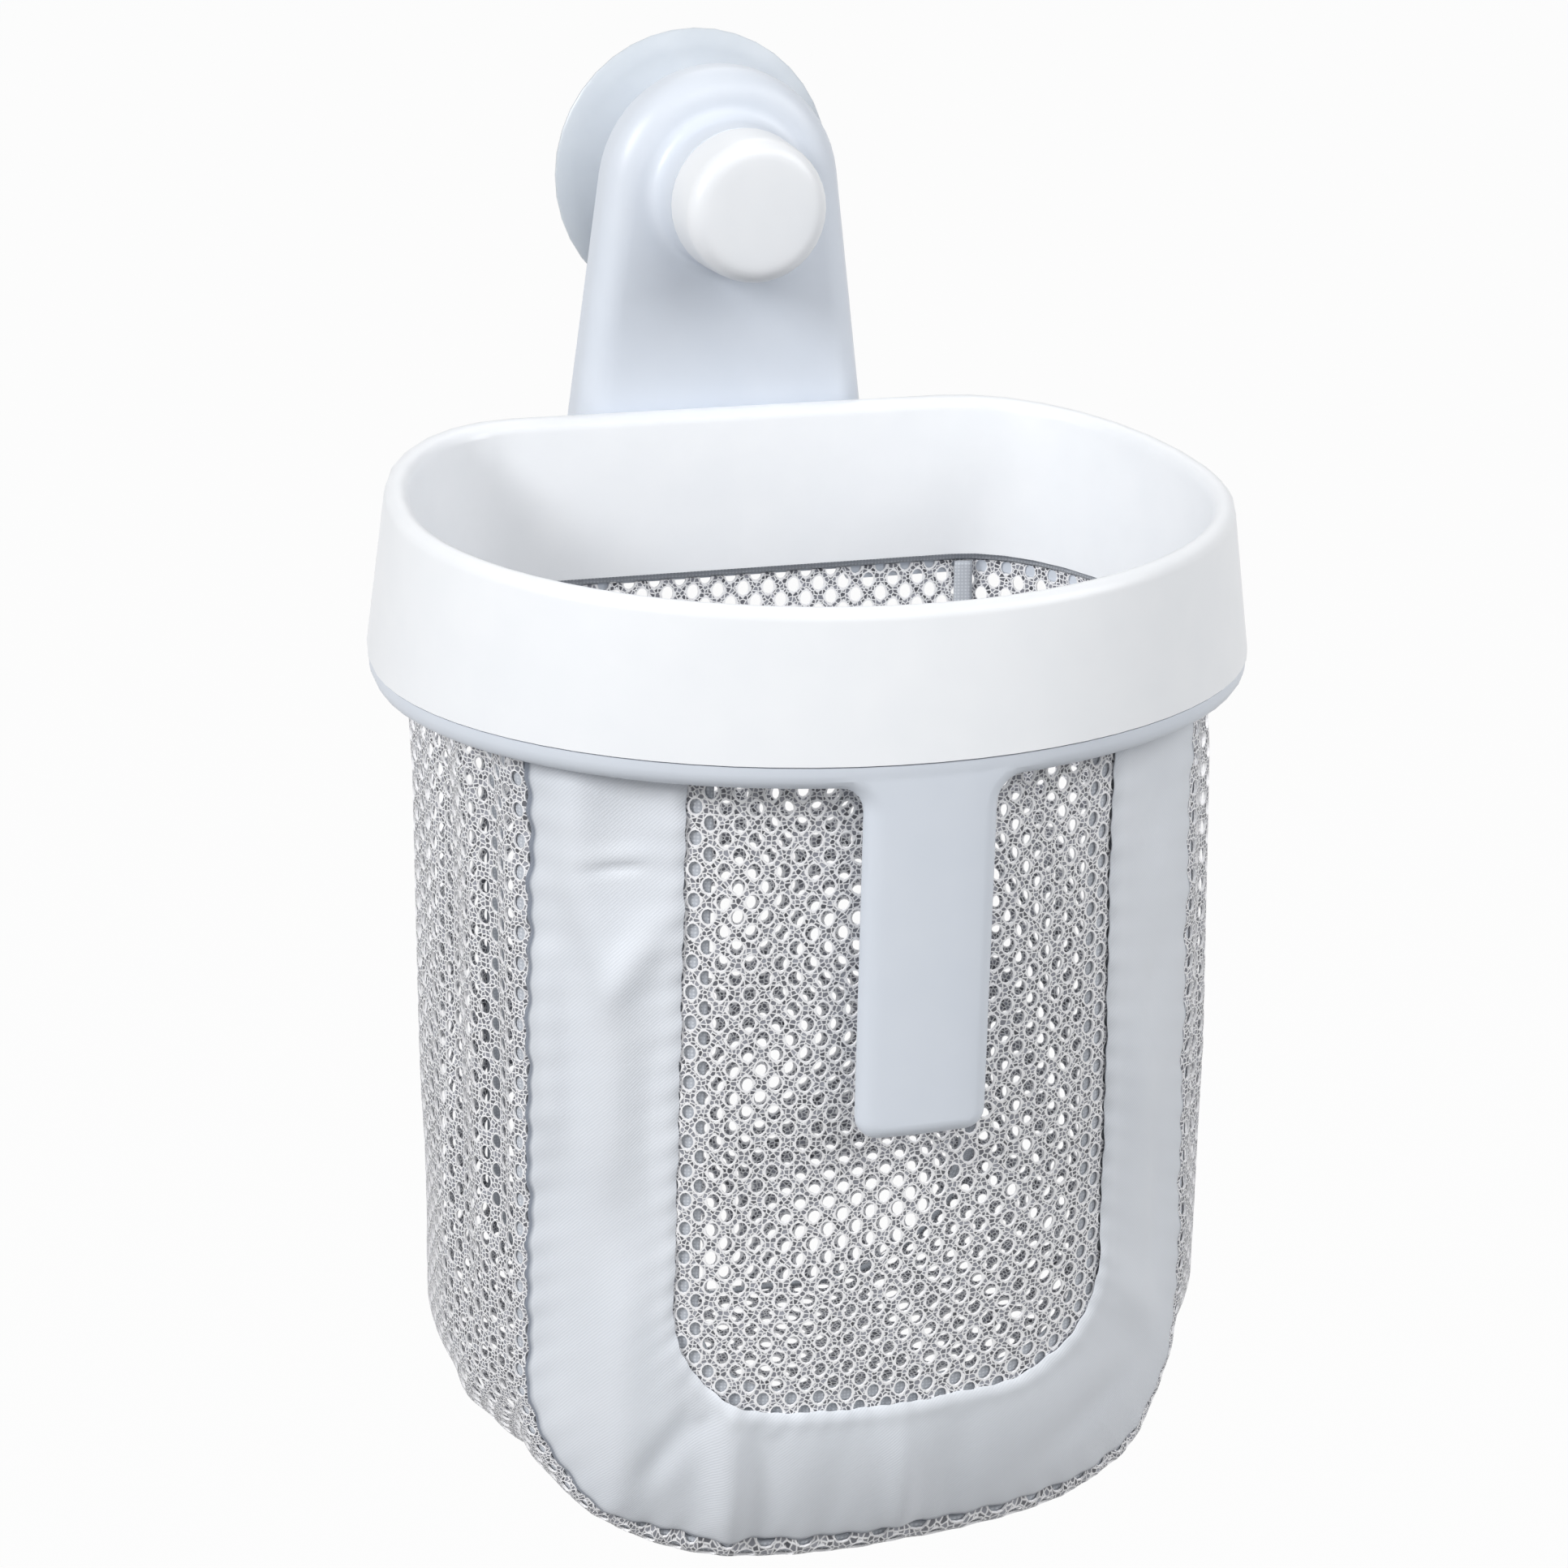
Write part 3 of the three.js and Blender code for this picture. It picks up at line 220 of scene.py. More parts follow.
# %% [markdown]
# ## Moulded plastics
# The rim and the knob are white polypropylene, and the bracket and the ring with the handle are
# the same plastic in a cool pale grey. A steel mould with a fine spark-eroded skin leaves them
# satin: reflections are broad and soft, and a faint wave about 14 mm long, where the plastic
# flowed, bends them. The grit is about 0.05 mm, far too fine to show, so it is drawn at 0.6 mm
# and very shallow. The washer under the knob is natural nylon, which looks creamier and duller.

# %% A satin moulded plastic
GRIT_DRAWN = 0.6
FLOW = 14


def moulded(name, pale, deep, rough, ior):
    """Satin plastic: a little uneven in tint and in gloss, with a shallow moulded skin."""
    material, tree, shader = new_material(name)
    where = add(tree, "ShaderNodeTexCoord")
    flow = add(tree, "ShaderNodeTexNoise", {"Vector": where.outputs["Object"], "Scale": grain(FLOW),
                                            "Detail": 2.0})
    tint = add(tree, "ShaderNodeMix", {"Factor": flow.outputs["Fac"], "A": linear(pale),
                                       "B": linear(deep)}, data_type="RGBA")
    grit = add(tree, "ShaderNodeTexNoise", {"Vector": where.outputs["Object"], "Scale": grain(GRIT_DRAWN),
                                            "Detail": 3.0})
    gloss = add(tree, "ShaderNodeMapRange", {"Value": grit.outputs["Fac"], "To Min": rough - 0.05,
                                             "To Max": rough + 0.05})
    skin = add(tree, "ShaderNodeBump", {"Height": grit.outputs["Fac"], "Strength": 0.06,
                                        "Distance": 0.05 * MM})
    peel = add(tree, "ShaderNodeBump", {"Height": flow.outputs["Fac"], "Strength": 0.12,
                                        "Distance": 0.4 * MM, "Normal": skin.outputs["Normal"]})
    tree.links.new(tint.outputs["Result"], shader.inputs["Base Color"])
    tree.links.new(gloss.outputs["Result"], shader.inputs["Roughness"])
    tree.links.new(peel.outputs["Normal"], shader.inputs["Normal"])
    shader.inputs["IOR"].default_value = ior
    return material


white_plastic = moulded("polypropylene, white, satin moulded", "#F3F5F8", "#ECEFF3", 0.34, 1.49)
grey_plastic = moulded("polypropylene, pale grey, satin moulded", "#DEE4ED", "#D8DFE9", 0.4, 1.49)
nylon = moulded("nylon, natural, moulded", "#E9E8E2", "#DEDCD4", 0.48, 1.53)
print("moulded:", white_plastic.name, "/", grey_plastic.name, "/", nylon.name)

# %% [markdown]
# ## Suction cup
# The cup is a soft elastomer moulded against a polished tool, so that it seals on tile. Light
# enters it and comes out again close by, which makes its thin edge look paler than its middle.
# A pale edge could be painted, but subsurface scattering gives it from every side, with a reach
# of a few millimetres. A faint cloud about 9 mm across keeps the cup from looking flat.

# %% The cup's elastomer
CLOUD = 9

cup_elastomer, tree, shader = new_material("soft PVC, translucent grey, polished moulding")
where = add(tree, "ShaderNodeTexCoord")
cloud = add(tree, "ShaderNodeTexNoise", {"Vector": where.outputs["Object"], "Scale": grain(CLOUD),
                                         "Detail": 3.0})
tint = add(tree, "ShaderNodeMix", {"Factor": cloud.outputs["Fac"], "A": linear("#D2D9E1"),
                                   "B": linear("#C8D0D9")}, data_type="RGBA")
gloss = add(tree, "ShaderNodeMapRange", {"Value": cloud.outputs["Fac"], "To Min": 0.3, "To Max": 0.42})
tree.links.new(tint.outputs["Result"], shader.inputs["Base Color"])
tree.links.new(gloss.outputs["Result"], shader.inputs["Roughness"])
shader.inputs["IOR"].default_value = 1.53
shader.inputs["Subsurface Weight"].default_value = 0.3
shader.inputs["Subsurface Radius"].default_value = (1.0, 1.0, 1.1)
shader.inputs["Subsurface Scale"].default_value = 3 * MM
print(cup_elastomer.name)

# %% [markdown]
# ## Screws
# Six small screws hold the ring up against the rim. They are rolled steel with a thin bright
# zinc plating, which is a metal with a slightly cloudy shine. A picture of plating would be lost
# at this size, so one noise, mottled at about 0.8 mm, moves both the tint and the gloss.

# %% Zinc-plated steel
BLOOM = 0.8

screw_steel, tree, shader = new_material("steel, zinc plated")
where = add(tree, "ShaderNodeTexCoord")
bloom = add(tree, "ShaderNodeTexNoise", {"Vector": where.outputs["Object"], "Scale": grain(BLOOM),
                                         "Detail": 4.0})
gloss = add(tree, "ShaderNodeMapRange", {"Value": bloom.outputs["Fac"], "To Min": 0.25, "To Max": 0.45})
tint = add(tree, "ShaderNodeMix", {"Factor": bloom.outputs["Fac"], "A": linear("#C4C7CA"),
                                   "B": linear("#AEB2B6")}, data_type="RGBA")
tree.links.new(tint.outputs["Result"], shader.inputs["Base Color"])
tree.links.new(gloss.outputs["Result"], shader.inputs["Roughness"])
shader.inputs["Metallic"].default_value = 1.0
print(screw_steel.name)

# %% [markdown]
# ## Dress the rigid pieces
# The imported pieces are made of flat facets. Smooth shading rounds them, but it would also smear
# the real corners, so the mesh is welded and then split wherever two faces meet at a sharp
# angle. Both are modifiers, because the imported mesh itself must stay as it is.

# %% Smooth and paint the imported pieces
CREASE = math.radians(34)
finishes = {"white_plastic": white_plastic, "grey_plastic": grey_plastic, "nylon": nylon,
            "cup_elastomer": cup_elastomer, "screw_steel": screw_steel}
slot_of = {row["node"]: row["material_slot"] for row in frame["record"]["subparts"]}

rigid = [name for name in frame["nodes"] if slot_of[name] in finishes]
for name in rigid:
    piece = frame["nodes"][name]
    piece.data.materials.clear()
    piece.data.materials.append(finishes[slot_of[name]])
    piece.data.polygons.foreach_set("use_smooth", [True] * len(piece.data.polygons))
    weld = piece.modifiers.new("weld", "WELD")
    weld.merge_threshold = 0.002 * MM
    split = piece.modifiers.new("crease", "EDGE_SPLIT")
    split.split_angle = CREASE
print("rigid pieces:", len(rigid))

# %% [markdown]
# ## The bag's shape
# The bag is sewn from a front panel with a net window, a net back, and one net strip that runs
# down a side, under the floor and up the other side. Its mouth follows the D of the rim. All the
# sheets below are worked out from the same few formulas in millimetres, so that their seams meet.

# %% Measure the bag on the frame
def box_mm(node):
    """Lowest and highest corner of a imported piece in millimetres."""
    return [np.array(corner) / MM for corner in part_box(node)]


rim_low, rim_high = box_mm("scoop_rim")
panel_low, panel_high = box_mm("front_panel")
rear_low, rear_high = box_mm("back_panel")

RIM_MIDDLE = 108.2
RIM_CORNER = 45
CORNER_SHRINK = 0.8
HEM_INSET = 9.8
BAG_TOP = panel_high[2]
BAG_FOOT = panel_low[2]
BAG_HALF = rim_high[0] - HEM_INSET
BAG_DEPTH = -rim_low[1] - RIM_MIDDLE - HEM_INSET
BAG_BACK = -rear_high[1]
SEAM_FLARE = 2
FRONT_SEAM = panel_high[0] - SEAM_FLARE
BACK_SEAM = rear_high[0] - SEAM_FLARE
BACK_FOOT = rear_low[2]
STRAIGHT = 166
RECEDE = 10
UNDERCUT = 11
FLARE = 2.5
print("bag:", round(2 * BAG_HALF, 1), "wide,", round(BAG_TOP - BAG_FOOT, 1), "deep")

# %% Write the front and the back as formulas
PANEL_LEVEL = -200.0


def tuck(z):
    """How far a height is into the bag's rounded foot: 0 above it, 1 at its lowest."""
    return np.clip((BAG_TOP - STRAIGHT - z) / (BAG_TOP - STRAIGHT - BAG_FOOT), 0, None)


def front_y(x, z):
    """The front face: an ellipse in plan that recedes a little toward the foot."""
    fall = np.clip((BAG_TOP - z) / STRAIGHT, None, 1)
    depth = BAG_DEPTH - RECEDE * fall - UNDERCUT * tuck(z) ** 2
    part = np.clip(np.abs(x) / (BAG_HALF + FLARE * fall), 0, 1)
    return -RIM_MIDDLE - depth * np.sqrt(1 - part ** 2)


def back_y(z):
    """The back face: flat, with its foot drawn forward."""
    return -BAG_BACK - 0.6 * UNDERCUT * tuck(z) ** 2


def on_front(x, z, lift=0.0):
    """Points on the front face, lifted outward along its normal."""
    step = 0.05
    slope_x = (front_y(x + step, z) - front_y(x - step, z)) / (2 * step)
    slope_z = (front_y(x, z + step) - front_y(x, z - step)) / (2 * step)
    normal = np.stack([slope_x, -np.ones_like(slope_x), slope_z], -1)
    normal /= np.linalg.norm(normal, axis=-1, keepdims=True)
    face = np.stack([x, front_y(x, z), z], -1)
    return face + normal * np.asarray(lift)[..., None]


print("front at the middle:", round(float(front_y(np.array(0.0), np.array(PANEL_LEVEL))), 1))

# %% Let the slack bag hang a little crooked
# A lean starts at one x, is full at another, and has a shift for each share of the bag's depth.
# The foot rises or drops round a middle x, over a width, by a height.
DEPTHS = (0, 0.12, 0.5, 0.75, 1)
LEANS = [(-40, -85, (0, 1.8, 2.6, 3.2, 5)), (-82, -92, (0, 0.2, 1.2, 1.8, 0)),
         (5, 50, (0, 0.3, 4.2, 6, 5.2)), (62, 80, (0, 0, -1.2, -1, 0)),
         (82, 94, (0, 2.6, 3.2, 1.2, 0))]
UNEVEN_FOOT = [(-55, 18, 3.5), (74, 10, -4.5)]


def ease(t):
    """A smooth step from 0 to 1."""
    t = np.clip(t, 0, 1)
    return t * t * (3 - 2 * t)


def hung(points):
    """Points moved to where the slack bag hangs: the sides lean and the foot is uneven."""
    x, z = points[:, 0], points[:, 2]
    drop = np.clip((BAG_TOP - z) / (BAG_TOP - BAG_FOOT), 0, 1)
    lean = sum(ease((x - first) / (full - first)) * np.interp(drop, DEPTHS, shifts)
               for first, full, shifts in LEANS)
    uneven = sum(rise * np.exp(-((x - middle) / width) ** 2) for middle, width, rise in UNEVEN_FOOT)
    return points + np.stack([lean, 0 * x, np.clip(tuck(z), 0, 1) * uneven], -1)


print("the foot leans", LEANS[0][2][-1], "mm to the right")

# %% Draw a U: down one side, round the corner and along the foot
SIDE_STEPS = 130
BEND_STEPS = 40
FOOT_STEPS = 24


def u_outline(half, corner, foot, flare=0.0, top=BAG_TOP):
    """A U in x and z, from the top left to the top right."""
    low = half + flare
    down = np.linspace(0, 1, SIDE_STEPS, endpoint=False)
    turn = np.linspace(0, math.pi / 2, BEND_STEPS, endpoint=False)
    along = np.linspace(-low + corner, 0, FOOT_STEPS, endpoint=False)
    side = np.stack([-half - flare * down, top + (foot + corner - top) * down], -1)
    bend = np.stack([-low + corner * (1 - np.cos(turn)), foot + corner * (1 - np.sin(turn))], -1)
    sole = np.stack([along, np.full_like(along, foot)], -1)
    left = np.concatenate([side, bend, sole])
    return np.concatenate([left, [[0, foot]], left[::-1] * (-1, 1)])


def run_length(points):
    """Distance along a row of points."""
    steps = np.linalg.norm(np.diff(points, axis=0), axis=1)
    return np.concatenate([[0], np.cumsum(steps)])


CORNER = 42
WINDOW_HALF = 51.5
WINDOW_CORNER = 27
WINDOW_FOOT = BAG_FOOT + 41
front_seam = u_outline(FRONT_SEAM, CORNER, BAG_FOOT, SEAM_FLARE)
window_edge = u_outline(WINDOW_HALF, WINDOW_CORNER, WINDOW_FOOT)
print("front seam:", round(run_length(front_seam)[-1]), "mm round the U")

# %% Turn points and faces into a cloth piece
def cloth_piece(name, points, faces, flat_mm, material, thick, marks=None, smooth=True):
    """A mesh in metres with its uncreased cloth position in millimetres as the UV map."""
    mesh = bpy.data.meshes.new(name)
    mesh.from_pydata((hung(points) * MM).tolist(), [], faces.tolist())
    layer = mesh.uv_layers.new(name="cloth_mm")
    corners = np.zeros(len(mesh.loops), np.int32)
    mesh.loops.foreach_get("vertex_index", corners)
    layer.data.foreach_set("uv", flat_mm[corners].astype(np.float32).ravel())
    if marks is not None:
        mesh.attributes.new("edge_mark", "FLOAT", "POINT").data.foreach_set("value", marks.astype(np.float32))
    mesh.polygons.foreach_set("use_smooth", [smooth] * len(mesh.polygons))
    mesh.materials.append(material)
    piece = bpy.data.objects.new(name, mesh)
    bpy.context.scene.collection.objects.link(piece)
    body = piece.modifiers.new("thickness", "SOLIDIFY")
    body.thickness = thick * MM
    body.offset = -1
    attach(piece, "basket")
    return piece


def grid_faces(rows, columns):
    """Quads of a grid whose points are numbered row by row."""
    first = (np.arange(rows - 1)[:, None] * columns + np.arange(columns - 1)).ravel()
    return np.stack([first, first + 1, first + columns + 1, first + columns], -1)


def facing_out(points, faces):
    """The faces, turned over if most of them look into the bag."""
    a, b, c = (points[faces[:, k]] for k in (0, 1, 2))
    normal = np.cross(b - a, c - a)
    middle = np.array([0, -RIM_MIDDLE, (BAG_TOP + BAG_FOOT) / 2])
    outward = (normal * (a - middle)).sum(-1) > 0
    return faces if outward.mean() > 0.5 else faces[:, ::-1]


print("a 3 by 3 grid has", len(grid_faces(3, 3)), "faces")

# %% [markdown]
# ## The front panel's cloth
# It is a polyester satin twill: the yarns lie in fine diagonal ridges that catch the light, so
# the cloth has a slight silky sheen. The ridges are 0.65 mm apart. Noise along the yarns keeps
# them from looking printed, and a slow cloud about 30 mm across shows where it has been handled.

# %% Polyester twill
TWILL = 0.65
SLUB = 2.4
HANDLED = 30

woven_cloth, tree, shader = new_material("polyester satin twill, pale grey, woven")
flat = add(tree, "ShaderNodeUVMap", uv_map="cloth_mm")
ridges = add(tree, "ShaderNodeTexWave", {"Vector": flat.outputs["UV"], "Distortion": 0.5,
                                         "Detail": 1.0, "Detail Scale": 1.5,
                                         "Scale": 2 * math.pi / (10 * TWILL * math.sqrt(2))},
             wave_type="BANDS", bands_direction="DIAGONAL")
slubs = add(tree, "ShaderNodeTexNoise", {"Vector": flat.outputs["UV"], "Scale": 1 / SLUB, "Detail": 3.0})
cloud = add(tree, "ShaderNodeTexNoise", {"Vector": flat.outputs["UV"], "Scale": 1 / HANDLED, "Detail": 2.0})
yarn = add(tree, "ShaderNodeMix", {"Factor": ridges.outputs["Fac"], "A": linear("#D4DBE5"),
                                   "B": linear("#ECF0F7")}, data_type="RGBA")
worn = add(tree, "ShaderNodeMix", {"Factor": slubs.outputs["Fac"], "A": yarn.outputs["Result"],
                                   "B": linear("#E0E5EC")}, data_type="RGBA")
tint = add(tree, "ShaderNodeMix", {"Factor": cloud.outputs["Fac"], "A": worn.outputs["Result"],
                                   "B": linear("#E4E8EE")}, data_type="RGBA")
gloss = add(tree, "ShaderNodeMapRange", {"Value": ridges.outputs["Fac"], "To Min": 0.62, "To Max": 0.46})
relief = add(tree, "ShaderNodeBump", {"Height": ridges.outputs["Fac"], "Strength": 0.35,
                                      "Distance": 0.08 * MM})
handled = add(tree, "ShaderNodeBump", {"Height": cloud.outputs["Fac"], "Strength": 0.3,
                                       "Distance": 1.2 * MM, "Normal": relief.outputs["Normal"]})
# The cloth is mixed toward dark grey where edge_mark is high: a painted shadow along the outer seam, where
# the turned edge meets the net, and a faint painted shade beyond it.
seam_shade_mask = add(tree, "ShaderNodeAttribute", attribute_name="edge_mark")
seam_shaded = add(tree, "ShaderNodeMix", {"Factor": seam_shade_mask.outputs["Fac"], "A": tint.outputs["Result"],
                                    "B": linear("#7F8693")}, data_type="RGBA")
tree.links.new(seam_shaded.outputs["Result"], shader.inputs["Base Color"])
tree.links.new(gloss.outputs["Result"], shader.inputs["Roughness"])
tree.links.new(handled.outputs["Normal"], shader.inputs["Normal"])
shader.inputs["IOR"].default_value = 1.5
shader.inputs["Sheen Weight"].default_value = 0.25
shader.inputs["Sheen Roughness"].default_value = 0.4
print(woven_cloth.name, "ridges every", TWILL, "mm")

# %% [markdown]
# ## Front panel
# On the real bag this is one piece of cloth with a U-shaped window cut in it. Its two edges are
# turned under and sewn, and the thread draws them up into small puckers, while the loose cloth
# between hangs in a few soft folds. A cloth simulation could find folds of its own, but these are
# in known places, so the sheet is laid on the bag's formula and each fold is a smooth ridge.

# %% Folds and puckers as small formulas
def folds_at(a, b, folds):
    """Height of soft ridges, each along a line from one place to another."""
    height = np.zeros_like(a)
    for a0, b0, a1, b1, width, rise in folds:
        length = math.hypot(a1 - a0, b1 - b0)
        along = ((a - a0) * (a1 - a0) + (b - b0) * (b1 - b0)) / length
        across = ((a - a0) * (b1 - b0) - (b - b0) * (a1 - a0)) / length
        fade = 1 / (1 + np.exp(-along / width)) / (1 + np.exp((along - length) / width))
        height = height + rise * fade * np.exp(-(across / width) ** 2)
    return height


def pucker(s, size):
    """The uneven wave that a seam draws into an edge."""
    return size * (0.6 * np.sin(s / 1.35) + 0.4 * np.sin(s / 2.9 + 1.1) + 0.5 * np.sin(s / 5.2 + 0.4))


# Each fold: x and z of its two ends, its width, and its height or, below zero, its depth.
PANEL_FOLDS = [
    (-73, -102, -73, -130, 4.5, 2.6), (-73, -130, -66, -157, 4.5, 2.6), (-57, -138, -66, -157, 4, 2.6),
    (-66, -157, -66, -205, 5, 3.0), (-79.5, -148, -78.5, -196, 3, 2.0),
    (-70, -126.6, -61, -124.6, 1.1, -0.8), (-70, -123.4, -61, -121.4, 2.2, 0.8),
    (-62, -104, -63, -121, 6, -1.4), (-79, -204, -79, -268, 4, -1.2), (-57, -170, -55, -215, 5, -0.9),
    (-63.5, -231, -62.5, -299, 6, 3.4), (-46, -264, -45, -300, 5, -1.4), (-44.8, -263, -57, -285, 4, -1.6),
    (-38.5, -258, -35, -304, 4, 2.6), (-29, -268, -28, -304, 5, -1.2), (-12, -276, -10, -302, 5, -1.0),
    (3, -272, 8, -304, 4, 1.8), (19, -270, 18, -302, 5, -1.0), (68, -116, 67, -134, 5, -1.8),
    (60, -172, 63, -204, 6, 1.8), (70, -160, 66, -176, 5, -1.4), (57, -244, 74, -266, 5, 1.6),
    (44, -288, 60, -276, 5, -1.8), (72, -214, 74, -250, 5, -1.6),
]
print("panel folds:", len(PANEL_FOLDS))

# %% Spread the front panel between its two edges
ACROSS = 34
SEAM_LAP = 0.8
SEAM_WAVE = 0.4
WINDOW_WAVE = 0.25

outer_edge = u_outline(FRONT_SEAM + SEAM_LAP, CORNER + SEAM_LAP, BAG_FOOT - SEAM_LAP, SEAM_FLARE)
seam_run = run_length(front_seam)
part = (0.5 - 0.5 * np.cos(np.linspace(0, math.pi, ACROSS)))[None, :, None]
spread = window_edge[:, None] * (1 - part) + outer_edge[:, None] * part
reach = np.linalg.norm(outer_edge - window_edge, axis=1)[:, None]
from_window = part[..., 0] * reach
from_seam = (1 - part[..., 0]) * reach
drift = (outer_edge - window_edge) / reach
edge_shift = pucker(seam_run, SEAM_WAVE)[:, None] * np.exp(-from_seam / 4)
edge_shift += pucker(seam_run + 40, WINDOW_WAVE)[:, None] * np.exp(-from_window / 3)
spread = spread + drift[:, None] * edge_shift[..., None]
x, z = spread[..., 0], spread[..., 1]
print("front panel:", x.shape[0], "rows of", x.shape[1], "points")

# %% Raise its folds and draw its edges in
# Where the net lies behind the cloth, a fold can sink only a little; beyond the lap it has room.
LAP = 6
NET_ROOM = 0.3
ROOM_GAIN = 0.35
SEAM_PUCKER = 0.42
WINDOW_PUCKER = 0.28
PUCKER_REACH = 5
WINDOW_ROLL = 0.35
WINDOW_CURL = 0.5
SEAM_CURL = 1.1

lift = folds_at(x, z, PANEL_FOLDS)
lift = np.maximum(lift, -NET_ROOM - ROOM_GAIN * np.clip(from_window - LAP, 0, None))
lift += pucker(seam_run, SEAM_PUCKER)[:, None] * np.exp(-from_seam / PUCKER_REACH)
lift += pucker(seam_run + 17, WINDOW_PUCKER)[:, None] * np.exp(-from_window / PUCKER_REACH)
lift += WINDOW_ROLL * np.exp(-((from_window - 2.5) / 2) ** 2) - WINDOW_CURL * np.exp(-from_window / 0.8)
lift -= SEAM_CURL * np.exp(-from_seam)
print("folds from", round(float(lift.min()), 1), "to", round(float(lift.max()), 1), "mm")

# %% Make the front cloth
CLOTH_THICK = 0.6
SEAM_SHADOW_WIDTH = 1.55
SHADE_REACH = 3.5

panel_points = on_front(x, z, lift).reshape(-1, 3)
panel_faces = facing_out(panel_points, grid_faces(*x.shape))
plan_x = np.linspace(-90, 90, 181)
plan_run = run_length(np.stack([plan_x, front_y(plan_x, np.full_like(plan_x, PANEL_LEVEL))], -1))
panel_flat = np.stack([np.interp(x, plan_x, plan_run), BAG_TOP - z], -1).reshape(-1, 2)
# A painted shadow line about 1.5 mm wide along the outer seam, and a fainter painted shade that fades over
# about 3.5 mm further in.
painted_seam_shade = (np.exp(-(from_seam / SEAM_SHADOW_WIDTH) ** 6) + 0.2 * np.exp(-from_seam / SHADE_REACH)).ravel()
front_cloth = cloth_piece("front_cloth", panel_points, panel_faces, panel_flat, woven_cloth, CLOTH_THICK,
                          painted_seam_shade)
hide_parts("front_panel")
print("front cloth:", len(panel_points), "points")

# %% [markdown]
# ## Net
# The window, the back and the sides are a polyester warp knit: a fine loop fabric knitted with
# oval holes, 3.05 by 3.9 mm, in staggered rows. A picture of holes would leave the net flat and
# closed from the side, so the holes are real. Each hole sits in a diamond, and the diamonds fit
# together edge to edge. The fine loops between the holes are under a millimetre on the real net.
# They are drawn at 1.2 mm so that they show, and stay in the material: pale filaments, solid
# gaps painted dark as painted shade for what shows through them, and a bright ring where the
# yarn is drawn round a hole.

# %% Polyester warp knit
LOOP = 1.2
LOOP_SPREAD = 0.8

knit_mesh, tree, shader = new_material("polyester warp knit, grey, open net")
flat = add(tree, "ShaderNodeUVMap", uv_map="cloth_mm")
loops = add(tree, "ShaderNodeTexVoronoi", {"Vector": flat.outputs["UV"], "Scale": 1 / LOOP,
                                           "Randomness": LOOP_SPREAD},
            feature="DISTANCE_TO_EDGE", voronoi_dimensions="2D")
thread = add(tree, "ShaderNodeMapRange", {"Value": loops.outputs["Distance"], "From Min": 0.05,
                                          "From Max": 0.19, "To Min": 1.0, "To Max": 0.0})
hole = add(tree, "ShaderNodeAttribute", attribute_name="edge_mark")
ring = add(tree, "ShaderNodeMapRange", {"Value": hole.outputs["Fac"], "From Min": 0.5, "From Max": 0.66})
raised = add(tree, "ShaderNodeMath", {0: thread.outputs["Result"], 1: ring.outputs["Result"]},
             operation="MAXIMUM")
cells = add(tree, "ShaderNodeTexVoronoi", {"Vector": flat.outputs["UV"], "Scale": 1 / LOOP,
                                           "Randomness": LOOP_SPREAD},
            feature="F1", voronoi_dimensions="2D")
# The gaps between loops are open on the real knit. Here they are solid, painted from near black to mid grey
# at random per loop: painted shade for the dark inside seen through them.
gap = add(tree, "ShaderNodeMix", {"Factor": cells.outputs["Color"], "A": linear("#24262E"),
                                  "B": linear("#A6A8B2")}, data_type="RGBA")
tint = add(tree, "ShaderNodeMix", {"Factor": raised.outputs[0], "A": gap.outputs["Result"],
                                   "B": linear("#FDFDFF")}, data_type="RGBA")
relief = add(tree, "ShaderNodeBump", {"Height": raised.outputs[0], "Strength": 0.6, "Distance": 0.2 * MM})
tree.links.new(tint.outputs["Result"], shader.inputs["Base Color"])
tree.links.new(relief.outputs["Normal"], shader.inputs["Normal"])
shader.inputs["Roughness"].default_value = 0.5
shader.inputs["IOR"].default_value = 1.55
shader.inputs["Sheen Weight"].default_value = 0.2
print(knit_mesh.name, "loops of", LOOP, "mm")

# %% Knit a flat net with real holes
HOLE_ACROSS = 3.05
HOLE_ALONG = 3.9
PITCH_ACROSS = 3.4
PITCH_ALONG = 3.8
SPOKES = 12


def flat_net(low, high):
    """Points, quads and hole-rim marks of a flat net that covers a rectangle."""
    columns = np.arange(math.floor(low[0] / PITCH_ACROSS), math.ceil(high[0] / PITCH_ACROSS) + 1)
    rows = np.arange(math.floor(low[1] / PITCH_ALONG), math.ceil(high[1] / PITCH_ALONG) + 1)
    i, j = np.meshgrid(columns, rows)
    staggered = (i + j) % 2 == 0
    middles = np.stack([i[staggered] * PITCH_ACROSS, j[staggered] * PITCH_ALONG], -1)
    turn = 2 * math.pi * np.arange(SPOKES) / SPOKES
    tips = np.array([[PITCH_ACROSS, 0], [0, PITCH_ALONG], [-PITCH_ACROSS, 0], [0, -PITCH_ALONG]])
    quarter = SPOKES // 4
    share = (np.arange(SPOKES) % quarter)[:, None] / quarter
    corner = np.arange(SPOKES) // quarter
    diamond = tips[corner] * (1 - share) + tips[(corner + 1) % 4] * share
    oval = np.stack([HOLE_ACROSS / 2 * np.cos(turn), HOLE_ALONG / 2 * np.sin(turn)], -1)
    outside = (middles[:, None] + diamond).reshape(-1, 2)
    inside = (middles[:, None] + oval).reshape(-1, 2)
    shared, number = np.unique(np.round(outside, 3), axis=0, return_inverse=True)
    number = number.reshape(-1, SPOKES)
    ring = np.arange(len(inside)).reshape(-1, SPOKES) + len(shared)
    quads = np.stack([number, np.roll(number, -1, 1), np.roll(ring, -1, 1), ring], -1).reshape(-1, 4)
    marks = np.concatenate([np.zeros(len(shared)), np.ones(len(inside))])
    return np.concatenate([shared, inside]), quads, marks


print("a 20 mm square of net:", len(flat_net((-10, 0), (10, 20))[1]), "quads")

# %% Trim a net to its sheet's outline
SLIVER = 0.03


